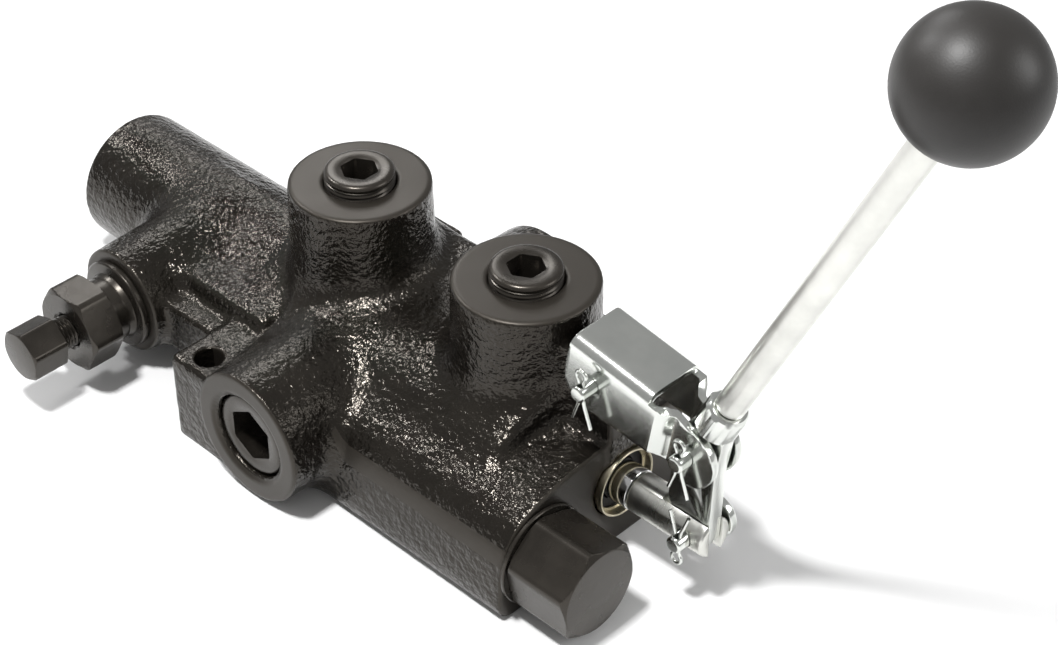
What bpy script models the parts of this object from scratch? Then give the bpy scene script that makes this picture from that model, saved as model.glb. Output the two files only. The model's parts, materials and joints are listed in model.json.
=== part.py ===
"""Lever-operated monoblock directional valve with pipe-plugged ports, a relief cartridge and a detent end.

Metres, +Z up. The origin is on the flat mounting face, under the spool axis and under the rear work port.
The spool axis runs along X, with the lever at +X and the detent housing at -X.
"""

import math

import bmesh
import bpy
from mathutils import Matrix, Vector

GAP = 0.0003
AXIS_Z = 0.027
SEGMENTS = 32
SMALL_SEGMENTS = 16

# Casting, in X from the rear work port and in Z from the mounting face
DETENT_END_X = -0.1407
BODY_END_X = 0.131
BARREL_RADIUS = 0.0267
PORT_SPACING = 0.0845
WORK_PORT_X = (0.0, PORT_SPACING)
WORK_PORT_TOP = AXIS_Z + 0.0644
BOSS_RADIUS = 0.0265
SIDE_PORT_X = 0.0197
SIDE_PORT_Y = -0.0776
OUTLET_X = 0.0345
OUTLET_Y = 0.0625
SIDE_BOSS_RADIUS = 0.0262
GALLERY_Y = -0.042
GALLERY_Z = AXIS_Z - 0.006
FRONT_WALL_Y = -0.061
REAR_WALL_Y = 0.0345
DECK_Z = AXIS_Z + 0.0335
RELIEF_X = -0.0764
RELIEF_BOSS_Y = -0.0585
RELIEF_BOSS_RADIUS = 0.0215
LOWER_EDGE_RADIUS = 0.008
LUG_TOP_Z = 0.037
FRONT_LUG_HOLE = (-0.0155, -0.0641)
REAR_LUG_HOLES = ((-0.0155, 0.0475), (0.073, 0.0475))
BOLT_HOLE_RADIUS = 0.0055

# Pipe plugs: 3/4 inch with a 1/2 inch hexagon on top, 1 inch with a 3/4 inch hexagon at the sides
PLUG_RADIUS = 0.01335
SIDE_PLUG_RADIUS = 0.0167
PLUG_LENGTH = 0.016
PLUG_PROUD = 0.0052
SIDE_PLUG_SUNK = 0.0022
SOCKET_FLATS = 0.0127
SIDE_SOCKET_FLATS = 0.01905
SOCKET_DEPTH = 0.011
PORT_BORE_DEPTH = 0.0195
PASSAGE_RADIUS = 0.0060

# Gallery plug and load check
GALLERY_HEX_FLATS = 0.0333
GALLERY_HEX_TURN = 11.0
GALLERY_PLUG_END_X = 0.1595
WASHER_THICKNESS = 0.0015
WASHER_RADIUS = 0.0192
GALLERY_THREAD_RADIUS = 0.0135
GALLERY_BORE_RADIUS = 0.011
CHECK_SEAT_X = 0.052

# Relief valve, in Y along its axis
RELIEF_COLLAR_Y = -0.0616
RELIEF_COLLAR_RADIUS = 0.0178
RELIEF_NUT_BACK_Y = -0.0703
RELIEF_NUT_FRONT_Y = -0.0843
RELIEF_NUT_FLATS = 0.0310
RELIEF_CAP_FLATS = 0.01905
RELIEF_CAP_LENGTH = 0.015
RELIEF_END_Y = -0.1061
RELIEF_STEM_RADIUS = 0.0065
RELIEF_SEAT_Y = -0.030
RELIEF_SEAT_RADIUS = 0.004

# Spool, its end fitting and the detent housing, in X
SPOOL_RADIUS = 0.0079
SPOOL_STEM_RADIUS = 0.0060
SPOOL_REAR_X = -0.0700
DETENT_BORE_X = -0.062
REAR_SEAL_X = -0.0608
DETENT_BORE_RADIUS = 0.020
CLEVIS_START_X = 0.1395
CLEVIS_END_X = 0.1740
CLEVIS_RADIUS = 0.0077
RETAINER_RADIUS = 0.0136
RETAINER_DEPTH = 0.0045
RETAINER_SHEET = 0.0009

# Linkage pivots, in the XZ plane
SPOOL_PIN = Vector((0.166, 0.0, AXIS_Z))
LEVER_PIN = Vector((0.165, 0.0, AXIS_Z + 0.036))
FIXED_PIN = Vector((0.1273, 0.0, AXIS_Z + 0.0484))
PIN_RADIUS = 0.003175
TANG_THICKNESS = 0.00635
LEVER_LEAN = math.radians(25.65)
ROD_RADIUS = 0.0053
KNOB_CENTRE = Vector((0.2489, 0.0, AXIS_Z + 0.2146))
KNOB_RADIUS = 0.0222
LINK_TILT = math.radians(9.3)
LINK_SHEET = 0.003
LINK_HALF_WIDTH = 0.013
LOBE_HALF_WIDTH = 0.0075
LOBE_RADIUS = 0.012
BLOCK_LOW, BLOCK_HIGH = 0.0136, 0.0265

X_AXIS = Matrix.Rotation(math.radians(90), 4, "Y")
FRONT_AXIS = Matrix.Rotation(math.radians(90), 4, "X")
BACK_AXIS = Matrix.Rotation(math.radians(-90), 4, "X")
UP_AXIS = Matrix.Identity(4)

for old in list(bpy.data.objects):
    bpy.data.objects.remove(old, do_unlink=True)

parts = bpy.data.collections.new("monoblock_valve")
cutters = bpy.data.collections.new("cutters")
bpy.context.scene.collection.children.link(parts)
bpy.context.scene.collection.children.link(cutters)


def material(name, colour, roughness, metallic):
    made = bpy.data.materials.new(name)
    made.use_nodes = True
    shader = made.node_tree.nodes["Principled BSDF"]
    shader.inputs["Base Color"].default_value = (*colour, 1.0)
    shader.inputs["Roughness"].default_value = roughness
    shader.inputs["Metallic"].default_value = metallic
    made.diffuse_color = (*colour, 1.0)
    return made


FINISHES = {
    "black_enamel": ((0.022, 0.02, 0.017), 0.32, 0.0),
    "zinc_plate": ((0.72, 0.73, 0.70), 0.28, 1.0),
    "chrome": ((0.8, 0.8, 0.8), 0.08, 1.0),
    "dark_steel": ((0.25, 0.24, 0.23), 0.4, 1.0),
    "spring_steel": ((0.4, 0.4, 0.41), 0.35, 1.0),
    "seal_rubber": ((0.02, 0.02, 0.02), 0.7, 0.0),
    "knob_plastic": ((0.025, 0.023, 0.021), 0.38, 0.0),
}
PALETTE = {name: material(name, *values) for name, values in FINISHES.items()}


def place(obj, finish=None):
    """Puts an object in the parts with a finish, or in the cutters without one."""
    if finish is None:
        cutters.objects.link(obj)
        obj.hide_render = True
        obj.display_type = "WIRE"
        return obj
    parts.objects.link(obj)
    obj.data.materials.append(PALETTE[finish])
    return obj


def mesh_object(name, work, finish=None):
    mesh = bpy.data.meshes.new(name)
    bmesh.ops.recalc_face_normals(work, faces=work.faces)
    work.to_mesh(mesh)
    work.free()
    mesh.shade_smooth()
    mesh.set_sharp_from_angle(angle=math.radians(35))
    return place(bpy.data.objects.new(name, mesh), finish)


def cone(name, start, end, radius_start, radius_end=None, segments=SEGMENTS, finish=None, turn=0.0):
    """A closed cylinder or cone from start to end."""
    start = Vector(start)
    along = Vector(end) - start
    work = bmesh.new()
    bmesh.ops.create_cone(
        work,
        cap_ends=True,
        segments=segments,
        radius1=radius_start,
        radius2=radius_start if radius_end is None else radius_end,
        depth=along.length,
    )
    bmesh.ops.rotate(work, verts=work.verts, matrix=Matrix.Rotation(math.radians(turn), 4, "Z"))
    facing = along.to_track_quat("Z", "Y").to_matrix().to_4x4()
    bmesh.ops.transform(work, verts=work.verts, matrix=Matrix.Translation(start + along / 2) @ facing)
    return mesh_object(name, work, finish)


def box(name, low, high, finish=None, bevel=0.0):
    low, high = Vector(low), Vector(high)
    work = bmesh.new()
    bmesh.ops.create_cube(work, size=1.0)
    bmesh.ops.scale(work, vec=high - low, verts=work.verts)
    bmesh.ops.translate(work, vec=(low + high) / 2, verts=work.verts)
    if bevel:
        bmesh.ops.bevel(work, geom=work.edges[:], offset=bevel, segments=2, profile=0.5, affect="EDGES")
    return mesh_object(name, work, finish)


def prism(name, outline, depth, frame, finish=None, bevel=0.0):
    """An outline of (u, v) points, extruded by depth about its plane, through a 2D curve."""
    curve = bpy.data.curves.new(name, "CURVE")
    curve.dimensions = "2D"
    curve.fill_mode = "BOTH"
    curve.extrude = depth / 2
    spline = curve.splines.new("POLY")
    spline.points.add(len(outline) - 1)
    for point, (u, v) in zip(spline.points, outline):
        point.co = (u, v, 0.0, 1.0)
    spline.use_cyclic_u = True
    source = bpy.data.objects.new(name + "_outline", curve)
    bpy.context.scene.collection.objects.link(source)
    graph = bpy.context.evaluated_depsgraph_get()
    mesh = bpy.data.meshes.new_from_object(source.evaluated_get(graph))
    bpy.data.objects.remove(source)
    work = bmesh.new()
    work.from_mesh(mesh)
    bmesh.ops.remove_doubles(work, verts=work.verts, dist=0.00001)
    bmesh.ops.dissolve_limit(work, angle_limit=0.01, verts=work.verts, edges=work.edges)
    if bevel:
        sharp = [edge for edge in work.edges if edge.calc_face_angle(0.0) > 0.6]
        bmesh.ops.bevel(work, geom=sharp, offset=bevel, segments=2, profile=0.5, affect="EDGES")
    bmesh.ops.transform(work, matrix=frame, verts=work.verts)
    return mesh_object(name, work, finish)


def turned(name, profile, frame, finish=None, segments=SEGMENTS):
    """A profile of (radius, height) points, from the top down its outer side, swept by a Screw modifier."""
    mesh = bpy.data.meshes.new(name)
    ends = len(profile) - 1
    closed = profile[0][0] > 0.0 and profile[ends][0] > 0.0
    edges = [(index, index + 1) for index in range(ends)]
    if closed:
        edges.append((ends, 0))
    mesh.from_pydata([(radius, 0.0, height) for radius, height in profile], edges, [])
    obj = place(bpy.data.objects.new(name, mesh), finish)
    obj.matrix_world = frame
    screw = obj.modifiers.new("turn", "SCREW")
    screw.steps = screw.render_steps = segments
    screw.use_merge_vertices = True
    screw.merge_threshold = 0.00005
    screw.use_smooth_shade = False
    return obj


def at(point, facing):
    return Matrix.Translation(Vector(point)) @ facing


def wire(name, points, radius, finish, closed=False, resolution=2):
    curve = bpy.data.curves.new(name, "CURVE")
    curve.dimensions = "3D"
    curve.bevel_depth = radius
    curve.bevel_resolution = resolution
    curve.use_fill_caps = not closed
    spline = curve.splines.new("POLY")
    spline.points.add(len(points) - 1)
    for point, place_at in zip(spline.points, points):
        point.co = (*place_at, 1.0)
    spline.use_cyclic_u = closed
    return place(bpy.data.objects.new(name, curve), finish)


def boolean(obj, other, operation="DIFFERENCE", solver="EXACT"):
    step = obj.modifiers.new(operation.lower(), "BOOLEAN")
    step.operation = operation
    step.solver = solver
    step.object = other


def arc(centre, radius, start, end, steps):
    """Points on an arc, with the angles in degrees, both ends included."""
    angles = [math.radians(start + (end - start) * index / steps) for index in range(steps + 1)]
    return [(centre[0] + radius * math.cos(angle), centre[1] + radius * math.sin(angle)) for angle in angles]


def hexagon(name, start, end, flats, turn=0.0, finish=None, chamfer=0.0):
    """A hexagonal prism across its flats, with the corners of its end turned off by a chamfer."""
    corner = flats / 2 / math.cos(math.radians(30))
    obj = cone(name, start, end, corner, segments=6, finish=finish, turn=turn)
    if chamfer:
        axis = (Vector(end) - Vector(start)).normalized()
        slope = chamfer * 0.5
        far = Vector(end) + axis * slope
        keep = cone(name + "_chamfer", Vector(start) - axis * 0.001, far, corner + 0.006, corner - chamfer)
        boolean(obj, keep, "INTERSECT")
    return obj


# Outlines in the XZ plane use u = X and v = Z, and face -Y
SIDE_PLANE = FRONT_AXIS
# Sections in the YZ plane use u = Y and v = Z, and face +X
SECTION_PLANE = Matrix(((0, 0, 1, 0), (1, 0, 0, 0), (0, 1, 0, 0), (0, 0, 0, 1)))


def casting():
    """The monoblock: one iron casting joined from its cast forms, then bored for ports and cartridges."""
    z = AXIS_Z
    under = -0.006
    main_section = (
        (REAR_WALL_Y, under),
        (REAR_WALL_Y, DECK_Z),
        (-0.024, DECK_Z - 0.002),
        (-0.043, z + 0.019),
        (FRONT_WALL_Y, z + 0.007),
        (FRONT_WALL_Y, under),
    )
    nose_section = (
        (REAR_WALL_Y - 0.004, under),
        (REAR_WALL_Y - 0.004, z + 0.020),
        (-0.015, z + 0.023),
        (-0.040, z + 0.0185),
        (FRONT_WALL_Y + 0.0007, z + 0.006),
        (FRONT_WALL_Y + 0.0007, under),
    )
    main_start, main_end = -0.028, 0.108
    middle = (main_start + main_end) / 2
    body = prism("body_casting", main_section, main_end - main_start, at((middle, 0, 0), SECTION_PLANE),
                 "black_enamel", bevel=0.004)
    recess = box("flank_recess", (main_start - 0.01, FRONT_WALL_Y - 0.01, -0.01), (-0.006, -0.040, z + 0.06))
    boolean(body, recess)

    nose_start = 0.100
    nose_middle = (nose_start + BODY_END_X) / 2
    nose = prism("nose", nose_section, BODY_END_X - nose_start, at((nose_middle, 0, 0), SECTION_PLANE),
                 bevel=0.002)
    barrel = cone("barrel", (DETENT_END_X, 0, z), (0.03, 0, z), BARREL_RADIUS)
    lug_outline = [(0.104, z + 0.012), (0.126, z + 0.012)]
    lug_outline += arc((FIXED_PIN.x, FIXED_PIN.z), 0.0085, -40, 150, 10) + [(0.104, z + 0.05)]
    pivot_lug = prism("pivot_lug", lug_outline, 0.016, at((0, 0, 0), SIDE_PLANE))
    joined = [nose, barrel, pivot_lug]
    for index, port_x in enumerate(WORK_PORT_X):
        joined.append(turned(f"work_boss_{index}", [
            (0, WORK_PORT_TOP),
            (BOSS_RADIUS - 0.0012, WORK_PORT_TOP),
            (BOSS_RADIUS, WORK_PORT_TOP - 0.0012),
            (BOSS_RADIUS + 0.0012, z),
            (0, z),
        ], at((port_x, 0, 0), UP_AXIS)))
    joined += [
        cone("inlet_boss", (SIDE_PORT_X, -0.02, z), (SIDE_PORT_X, SIDE_PORT_Y, z),
             SIDE_BOSS_RADIUS + 0.0008, SIDE_BOSS_RADIUS),
        cone("outlet_boss", (OUTLET_X, 0.02, z), (OUTLET_X, OUTLET_Y, z), SIDE_BOSS_RADIUS + 0.0008,
             SIDE_BOSS_RADIUS),
        cone("relief_boss", (RELIEF_X, 0.0, z), (RELIEF_X, RELIEF_BOSS_Y, z), RELIEF_BOSS_RADIUS + 0.002,
             RELIEF_BOSS_RADIUS),
        box("front_lug", (-0.0276, -0.0736, under), (0.004, -0.030, LUG_TOP_Z), bevel=0.003),
        box("lug_web", (RELIEF_X, -0.0530, 0.0120), (-0.020, -0.010, LUG_TOP_Z - 0.0012), bevel=0.004),
        box("shoulder", (RELIEF_X, -0.0410, 0.0120), (-0.010, 0.0, z + 0.0160), bevel=0.004),
    ]
    for index, (hole_x, hole_y) in enumerate(REAR_LUG_HOLES):
        low = (hole_x - 0.0115, 0.028, under)
        high = (hole_x + 0.0115, hole_y + 0.0095, LUG_TOP_Z)
        joined.append(box(f"rear_lug_{index}", low, high, bevel=0.003))
    for piece in joined:
        boolean(body, piece, "UNION")
    boolean(body, box("below_mounting_face", (-0.2, -0.2, -0.05), (0.2, 0.2, 0.0)))
    # The lower front edge is rounded, past the inlet boss
    edge = LOWER_EDGE_RADIUS
    corner = arc((FRONT_WALL_Y + edge, edge - 0.0007), edge, 180, 270, 5)
    corner += [(FRONT_WALL_Y + edge, -0.01), (FRONT_WALL_Y - 0.004, -0.01), (FRONT_WALL_Y - 0.004, edge)]
    edge_start, edge_end = SIDE_PORT_X + 0.0205, BODY_END_X + 0.004
    edge_middle = (edge_start + edge_end) / 2
    boolean(body, prism("lower_edge", corner, edge_end - edge_start, at((edge_middle, 0, 0), SECTION_PLANE)))

    bores = []
    for index, (hole_x, hole_y) in enumerate((FRONT_LUG_HOLE, *REAR_LUG_HOLES)):
        bores.append(cone(f"bolt_hole_{index}", (hole_x, hole_y, -0.01), (hole_x, hole_y, LUG_TOP_Z + 0.01),
                          BOLT_HOLE_RADIUS, segments=SMALL_SEGMENTS))
    plug_room = PLUG_RADIUS + GAP
    side_room = SIDE_PLUG_RADIUS + GAP
    for index, port_x in enumerate(WORK_PORT_X):
        floor = WORK_PORT_TOP - PORT_BORE_DEPTH
        bores.append(cone(f"port_{index}", (port_x, 0, floor), (port_x, 0, WORK_PORT_TOP + 0.01), plug_room))
        bores.append(cone(f"port_passage_{index}", (port_x, 0, z), (port_x, 0, floor + 0.001),
                          PASSAGE_RADIUS, segments=SMALL_SEGMENTS))
    bores += [
        cone("inlet", (SIDE_PORT_X, SIDE_PORT_Y + PORT_BORE_DEPTH, z), (SIDE_PORT_X, SIDE_PORT_Y - 0.01, z),
             side_room),
        cone("inlet_passage", (SIDE_PORT_X, 0, z), (SIDE_PORT_X, SIDE_PORT_Y + 0.01, z), PASSAGE_RADIUS,
             segments=SMALL_SEGMENTS),
        cone("outlet", (OUTLET_X, OUTLET_Y - PORT_BORE_DEPTH, z), (OUTLET_X, OUTLET_Y + 0.01, z), side_room),
        cone("outlet_passage", (OUTLET_X, 0, z), (OUTLET_X, OUTLET_Y - 0.01, z), PASSAGE_RADIUS,
             segments=SMALL_SEGMENTS),
        cone("gallery_feed", (SIDE_PORT_X, GALLERY_Y, GALLERY_Z),
             (CHECK_SEAT_X + 0.001, GALLERY_Y, GALLERY_Z), PASSAGE_RADIUS, segments=SMALL_SEGMENTS),
        cone("gallery", (CHECK_SEAT_X - GAP, GALLERY_Y, GALLERY_Z),
             (BODY_END_X + 0.01, GALLERY_Y, GALLERY_Z), GALLERY_BORE_RADIUS),
        cone("gallery_thread", (BODY_END_X - 0.022, GALLERY_Y, GALLERY_Z),
             (BODY_END_X + 0.01, GALLERY_Y, GALLERY_Z), GALLERY_THREAD_RADIUS + GAP),
        cone("relief_bore", (RELIEF_X, RELIEF_SEAT_Y, z), (RELIEF_X, RELIEF_BOSS_Y - 0.01, z),
             RELIEF_STEM_RADIUS + 0.0053),
        cone("relief_passage", (RELIEF_X, 0, z), (RELIEF_X, RELIEF_SEAT_Y - 0.01, z), RELIEF_SEAT_RADIUS,
             segments=SMALL_SEGMENTS),
        cone("spool_bore", (DETENT_BORE_X - 0.005, 0, z), (BODY_END_X + 0.01, 0, z), SPOOL_RADIUS + GAP),
        cone("rear_seal_pocket", (DETENT_BORE_X - 0.005, 0, z), (REAR_SEAL_X + 0.0032, 0, z), 0.0118),
        cone("seal_pocket", (BODY_END_X - 0.006, 0, z), (BODY_END_X + 0.01, 0, z), RETAINER_RADIUS + GAP),
        cone("detent_bore", (DETENT_END_X - 0.01, 0, z), (DETENT_BORE_X, 0, z), DETENT_BORE_RADIUS),
        cone("cap_pocket", (DETENT_END_X - 0.01, 0, z), (DETENT_END_X + 0.009, 0, z),
             DETENT_BORE_RADIUS + 0.0025),
        cone("fixed_pin_bore", FIXED_PIN - Vector((0, 0.02, 0)), FIXED_PIN + Vector((0, 0.02, 0)),
             PIN_RADIUS + GAP, segments=SMALL_SEGMENTS),
    ]
    # EXACT leaves open edges on some of these bores, and MANIFOLD closes them
    for piece in bores:
        boolean(body, piece, solver="MANIFOLD")
    weld = body.modifiers.new("weld", "WELD")
    weld.merge_threshold = 0.00002


def pipe_plug(name, mouth, facing, proud, radius, flats):
    """A tapered socket plug, its outer end at height proud above the boss face."""
    top = proud
    bottom = proud - PLUG_LENGTH
    narrow = radius - 0.0004
    profile = [
        (0, top),
        (radius - 0.0016, top),
        (radius, top - 0.0012),
        (narrow, bottom + 0.001),
        (narrow - 0.001, bottom),
        (0, bottom),
    ]
    frame = at(mouth, facing)
    plug = turned(name, profile, frame, "black_enamel")
    outward = frame.to_3x3() @ Vector((0, 0, 1))
    outer = Vector(mouth) + outward * (top + 0.001)
    socket = hexagon(name + "_socket", outer - outward * (SOCKET_DEPTH + 0.001), outer, flats, turn=30)
    boolean(plug, socket)


def ports():
    for name, port_x in zip(("work_port_plug_a", "work_port_plug_b"), WORK_PORT_X):
        pipe_plug(name, (port_x, 0, WORK_PORT_TOP), UP_AXIS, PLUG_PROUD, PLUG_RADIUS, SOCKET_FLATS)
    for name, mouth, facing in (("inlet_port_plug", (SIDE_PORT_X, SIDE_PORT_Y, AXIS_Z), FRONT_AXIS),
                                ("outlet_port_plug", (OUTLET_X, OUTLET_Y, AXIS_Z), BACK_AXIS)):
        pipe_plug(name, mouth, facing, -SIDE_PLUG_SUNK, SIDE_PLUG_RADIUS, SIDE_SOCKET_FLATS)


def coil(name, start, end, radius, wire_radius, turns):
    """A compression spring along the line from start to end."""
    start, end = Vector(start), Vector(end)
    along = end - start
    facing = along.to_track_quat("Z", "Y").to_matrix()
    steps = turns * 12
    points = []
    for index in range(steps + 1):
        angle = math.tau * turns * index / steps
        across = Vector((radius * math.cos(angle), radius * math.sin(angle), along.length * index / steps))
        points.append(start + facing @ across)
    return wire(name, points, wire_radius, "spring_steel", resolution=1)


def gallery():
    """The big hexagon plug with its washer, and the load check that it holds on its seat."""
    start = BODY_END_X + GAP
    washer_end = start + WASHER_THICKNESS
    centre = Vector((0, GALLERY_Y, GALLERY_Z))
    turned("gallery_plug_washer", [
        (WASHER_RADIUS, WASHER_THICKNESS),
        (WASHER_RADIUS, 0),
        (GALLERY_THREAD_RADIUS + 2 * GAP, 0),
        (GALLERY_THREAD_RADIUS + 2 * GAP, WASHER_THICKNESS),
    ], at(centre + Vector((start, 0, 0)), X_AXIS), "black_enamel")
    hex_start = centre + Vector((washer_end + GAP, 0, 0))
    hex_end = centre + Vector((GALLERY_PLUG_END_X, 0, 0))
    plug = hexagon("gallery_plug", hex_start, hex_end, GALLERY_HEX_FLATS, turn=GALLERY_HEX_TURN,
                   finish="black_enamel", chamfer=0.0022)
    shank_start = centre + Vector((BODY_END_X - 0.018, 0, 0))
    shank = cone("gallery_plug_shank", shank_start, hex_start + Vector((0.002, 0, 0)), GALLERY_THREAD_RADIUS)
    boolean(plug, shank, "UNION")

    poppet_radius = GALLERY_BORE_RADIUS - 0.0010
    profile = [
        (0, 0.024),
        (0.0035, 0.024),
        (0.0035, 0.012),
        (poppet_radius, 0.012),
        (poppet_radius, 0.004),
        (poppet_radius - 0.004, 0),
        (0, 0),
    ]
    seat = centre + Vector((CHECK_SEAT_X, 0, 0))
    turned("check_poppet", profile, at(seat, X_AXIS), "dark_steel", SMALL_SEGMENTS)
    spring_end = centre + Vector((BODY_END_X - 0.0200, 0, 0))
    coil("check_spring", seat + Vector((0.0145, 0, 0)), spring_end, 0.0062, 0.0009, 5)


def relief_valve():
    """The cartridge with its collar, lock nut, adjusting screw, spring and poppet, on one axis along -Y."""
    def on_axis(y):
        return Vector((RELIEF_X, y, AXIS_Z))

    frame = at((RELIEF_X, 0, AXIS_Z), FRONT_AXIS)
    inner = RELIEF_STEM_RADIUS + GAP
    neck = 0.0135
    thread = RELIEF_STEM_RADIUS + 0.005
    nut_back = -RELIEF_NUT_BACK_Y - GAP
    turned("relief_cartridge", [
        (neck - 0.001, nut_back),
        (neck, nut_back - 0.001),
        (neck, -RELIEF_COLLAR_Y),
        (RELIEF_COLLAR_RADIUS, -RELIEF_COLLAR_Y),
        (RELIEF_COLLAR_RADIUS, -RELIEF_BOSS_Y + GAP),
        (thread, -RELIEF_BOSS_Y + GAP),
        (thread, -RELIEF_SEAT_Y + 2 * GAP),
        (inner, -RELIEF_SEAT_Y + 2 * GAP),
        (inner, nut_back),
    ], frame, "black_enamel")
    nut = hexagon("relief_lock_nut", on_axis(RELIEF_NUT_BACK_Y), on_axis(RELIEF_NUT_FRONT_Y),
                  RELIEF_NUT_FLATS, finish="black_enamel", chamfer=0.0018)
    boolean(nut, cone("nut_thread", on_axis(-0.06), on_axis(-0.09), inner))
    cap_back = RELIEF_END_Y + RELIEF_CAP_LENGTH
    screw = hexagon("relief_adjusting_screw", on_axis(cap_back), on_axis(RELIEF_END_Y), RELIEF_CAP_FLATS,
                    turn=18, finish="black_enamel", chamfer=0.0012)
    stem_end = RELIEF_SEAT_Y - 0.024
    stem = cone("screw_stem", on_axis(stem_end), on_axis(cap_back - 0.002), RELIEF_STEM_RADIUS)
    boolean(screw, stem, "UNION")
    poppet_top = 0.006
    turned("relief_poppet", [
        (0, poppet_top),
        (0.0022, poppet_top),
        (0.0022, 0.003),
        (0.0055, 0.003),
        (0.0055, 0.0),
        (0.001, -0.005),
        (0, -0.005),
    ], at(on_axis(RELIEF_SEAT_Y - 0.002), FRONT_AXIS), "dark_steel", SMALL_SEGMENTS)
    coil("relief_spring", on_axis(RELIEF_SEAT_Y - 0.0063), on_axis(stem_end + 0.0013), 0.0042, 0.0009, 6)


def spool_group():
    """The spool with its lands, the slotted end fitting and the tail that works in the detent housing."""
    lands = ((SPOOL_REAR_X, -0.030), (-0.010, 0.010), (0.046, 0.060), (0.0745, 0.0945),
             (0.110, CLEVIS_START_X - GAP))
    profile = [(0, lands[-1][1])]
    for index in reversed(range(len(lands))):
        low, high = lands[index]
        profile += [(SPOOL_RADIUS, high), (SPOOL_RADIUS, low)]
        if index:
            profile += [(SPOOL_STEM_RADIUS, low), (SPOOL_STEM_RADIUS, lands[index - 1][1])]
    profile.append((0, SPOOL_REAR_X))
    turned("spool", profile, at((0, 0, AXIS_Z), X_AXIS), "chrome", 24)

    clevis_start = Vector((CLEVIS_START_X, 0, AXIS_Z))
    clevis = cone("spool_end_fitting", clevis_start, (CLEVIS_END_X, 0, AXIS_Z), CLEVIS_RADIUS,
                  finish="zinc_plate")
    slot_half = TANG_THICKNESS / 2 + GAP
    slot_low = (SPOOL_PIN.x - 0.0135, -slot_half, AXIS_Z - 0.02)
    boolean(clevis, box("fitting_slot", slot_low, (CLEVIS_END_X + 0.01, slot_half, AXIS_Z + 0.02)))
    reach = Vector((0, 0.03, 0))
    boolean(clevis, cone("fitting_bore", SPOOL_PIN - reach, SPOOL_PIN + reach, PIN_RADIUS + GAP,
                         segments=SMALL_SEGMENTS))

    tail_start = SPOOL_REAR_X - GAP
    head_x = -0.116
    groove_x = -0.102
    turned("detent_stem", [
        (0, tail_start),
        (0.004, tail_start),
        (0.004, groove_x + 0.0055),
        (0.0065, groove_x + 0.0045),
        (0.0065, groove_x + 0.002),
        (0.0045, groove_x),
        (0.0065, groove_x - 0.002),
        (0.0065, head_x),
        (0, head_x),
    ], at((0, 0, AXIS_Z), X_AXIS), "dark_steel", SMALL_SEGMENTS)


def ring(name, centre_x, length, outer, inner, finish, segments=SEGMENTS):
    """A plain ring round the spool axis, from centre_x towards +X."""
    turned(name, [(outer, length), (outer, 0), (inner, 0), (inner, length)],
           at((centre_x, 0, AXIS_Z), X_AXIS), finish, segments)


def seals():
    room = SPOOL_RADIUS + 2 * GAP
    ring("spool_wiper_seal", BODY_END_X - 0.0055, 0.0035, RETAINER_RADIUS - 0.001, room, "seal_rubber")
    turned("seal_retainer", [
        (RETAINER_RADIUS, RETAINER_DEPTH),
        (RETAINER_RADIUS, 0),
        (SPOOL_RADIUS + 0.0015, 0),
        (SPOOL_RADIUS + 0.0015, RETAINER_SHEET),
        (RETAINER_RADIUS - RETAINER_SHEET, RETAINER_SHEET),
        (RETAINER_RADIUS - RETAINER_SHEET, RETAINER_DEPTH),
    ], at((BODY_END_X - 0.0017, 0, AXIS_Z), X_AXIS), "zinc_plate")
    ring("rear_spool_seal", REAR_SEAL_X, 0.003, 0.0115, room, "seal_rubber")


def detent_housing():
    """Inside the housing: spring seats, centring spring, ball cage, balls and their spring, and the cap."""
    seat_x = SPOOL_REAR_X - 0.0028
    ring("centring_spring_seat", seat_x, 0.0025, 0.0165, 0.0045, "dark_steel", SMALL_SEGMENTS)
    ring("centring_spring_stop", -0.0945, 0.0030, DETENT_BORE_RADIUS - GAP, 0.009, "dark_steel",
         SMALL_SEGMENTS)
    coil("centring_spring", (-0.0901, 0, AXIS_Z), (seat_x - 0.0015, 0, AXIS_Z), 0.0135, 0.0011, 3)
    cage_x, cage_length = -0.1135, 0.016
    cage = turned("detent_cage", [
        (0.0125, cage_length),
        (0.0125, 0),
        (0.0075, 0),
        (0.0075, cage_length),
    ], at((cage_x, 0, AXIS_Z), X_AXIS), "dark_steel", SMALL_SEGMENTS)
    ball_x, ball_radius = -0.102, 0.0028
    boolean(cage, cone("ball_holes", (ball_x, 0, AXIS_Z - 0.02), (ball_x, 0, AXIS_Z + 0.02),
                       ball_radius + GAP, segments=SMALL_SEGMENTS))
    for name, side in (("detent_ball_upper", 1), ("detent_ball_lower", -1)):
        work = bmesh.new()
        bmesh.ops.create_uvsphere(work, u_segments=12, v_segments=8, radius=ball_radius)
        bmesh.ops.translate(work, vec=(ball_x, 0, AXIS_Z + side * 0.0099), verts=work.verts)
        mesh_object(name, work, "chrome")
    band = [(ball_x, 0.0141 * math.cos(turn), AXIS_Z + 0.0141 * math.sin(turn))
            for turn in (math.tau * index / 32 for index in range(32))]
    wire("detent_band_spring", band, 0.0009, "spring_steel", closed=True, resolution=1)

    cap_length = 0.005
    cap_x = DETENT_END_X + 0.0035
    turned("detent_end_cap", [
        (0, cap_length),
        (DETENT_BORE_RADIUS + 0.0022, cap_length),
        (DETENT_BORE_RADIUS + 0.0022, 0),
        (0.012, 0),
        (0.010, 0.0015),
        (0, 0.0015),
    ], at((cap_x, 0, AXIS_Z), X_AXIS), "black_enamel")
    snap_x = DETENT_END_X + 0.0015
    snap_wire = 0.0011
    radius = DETENT_BORE_RADIUS + 0.0009
    snap = [(snap_x + 0.0006, radius * math.cos(turn), AXIS_Z + radius * math.sin(turn))
            for turn in (math.radians(100 + 340 * index / 30) for index in range(31))]
    wire("cap_snap_ring", snap, snap_wire, "spring_steel", resolution=1)


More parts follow.
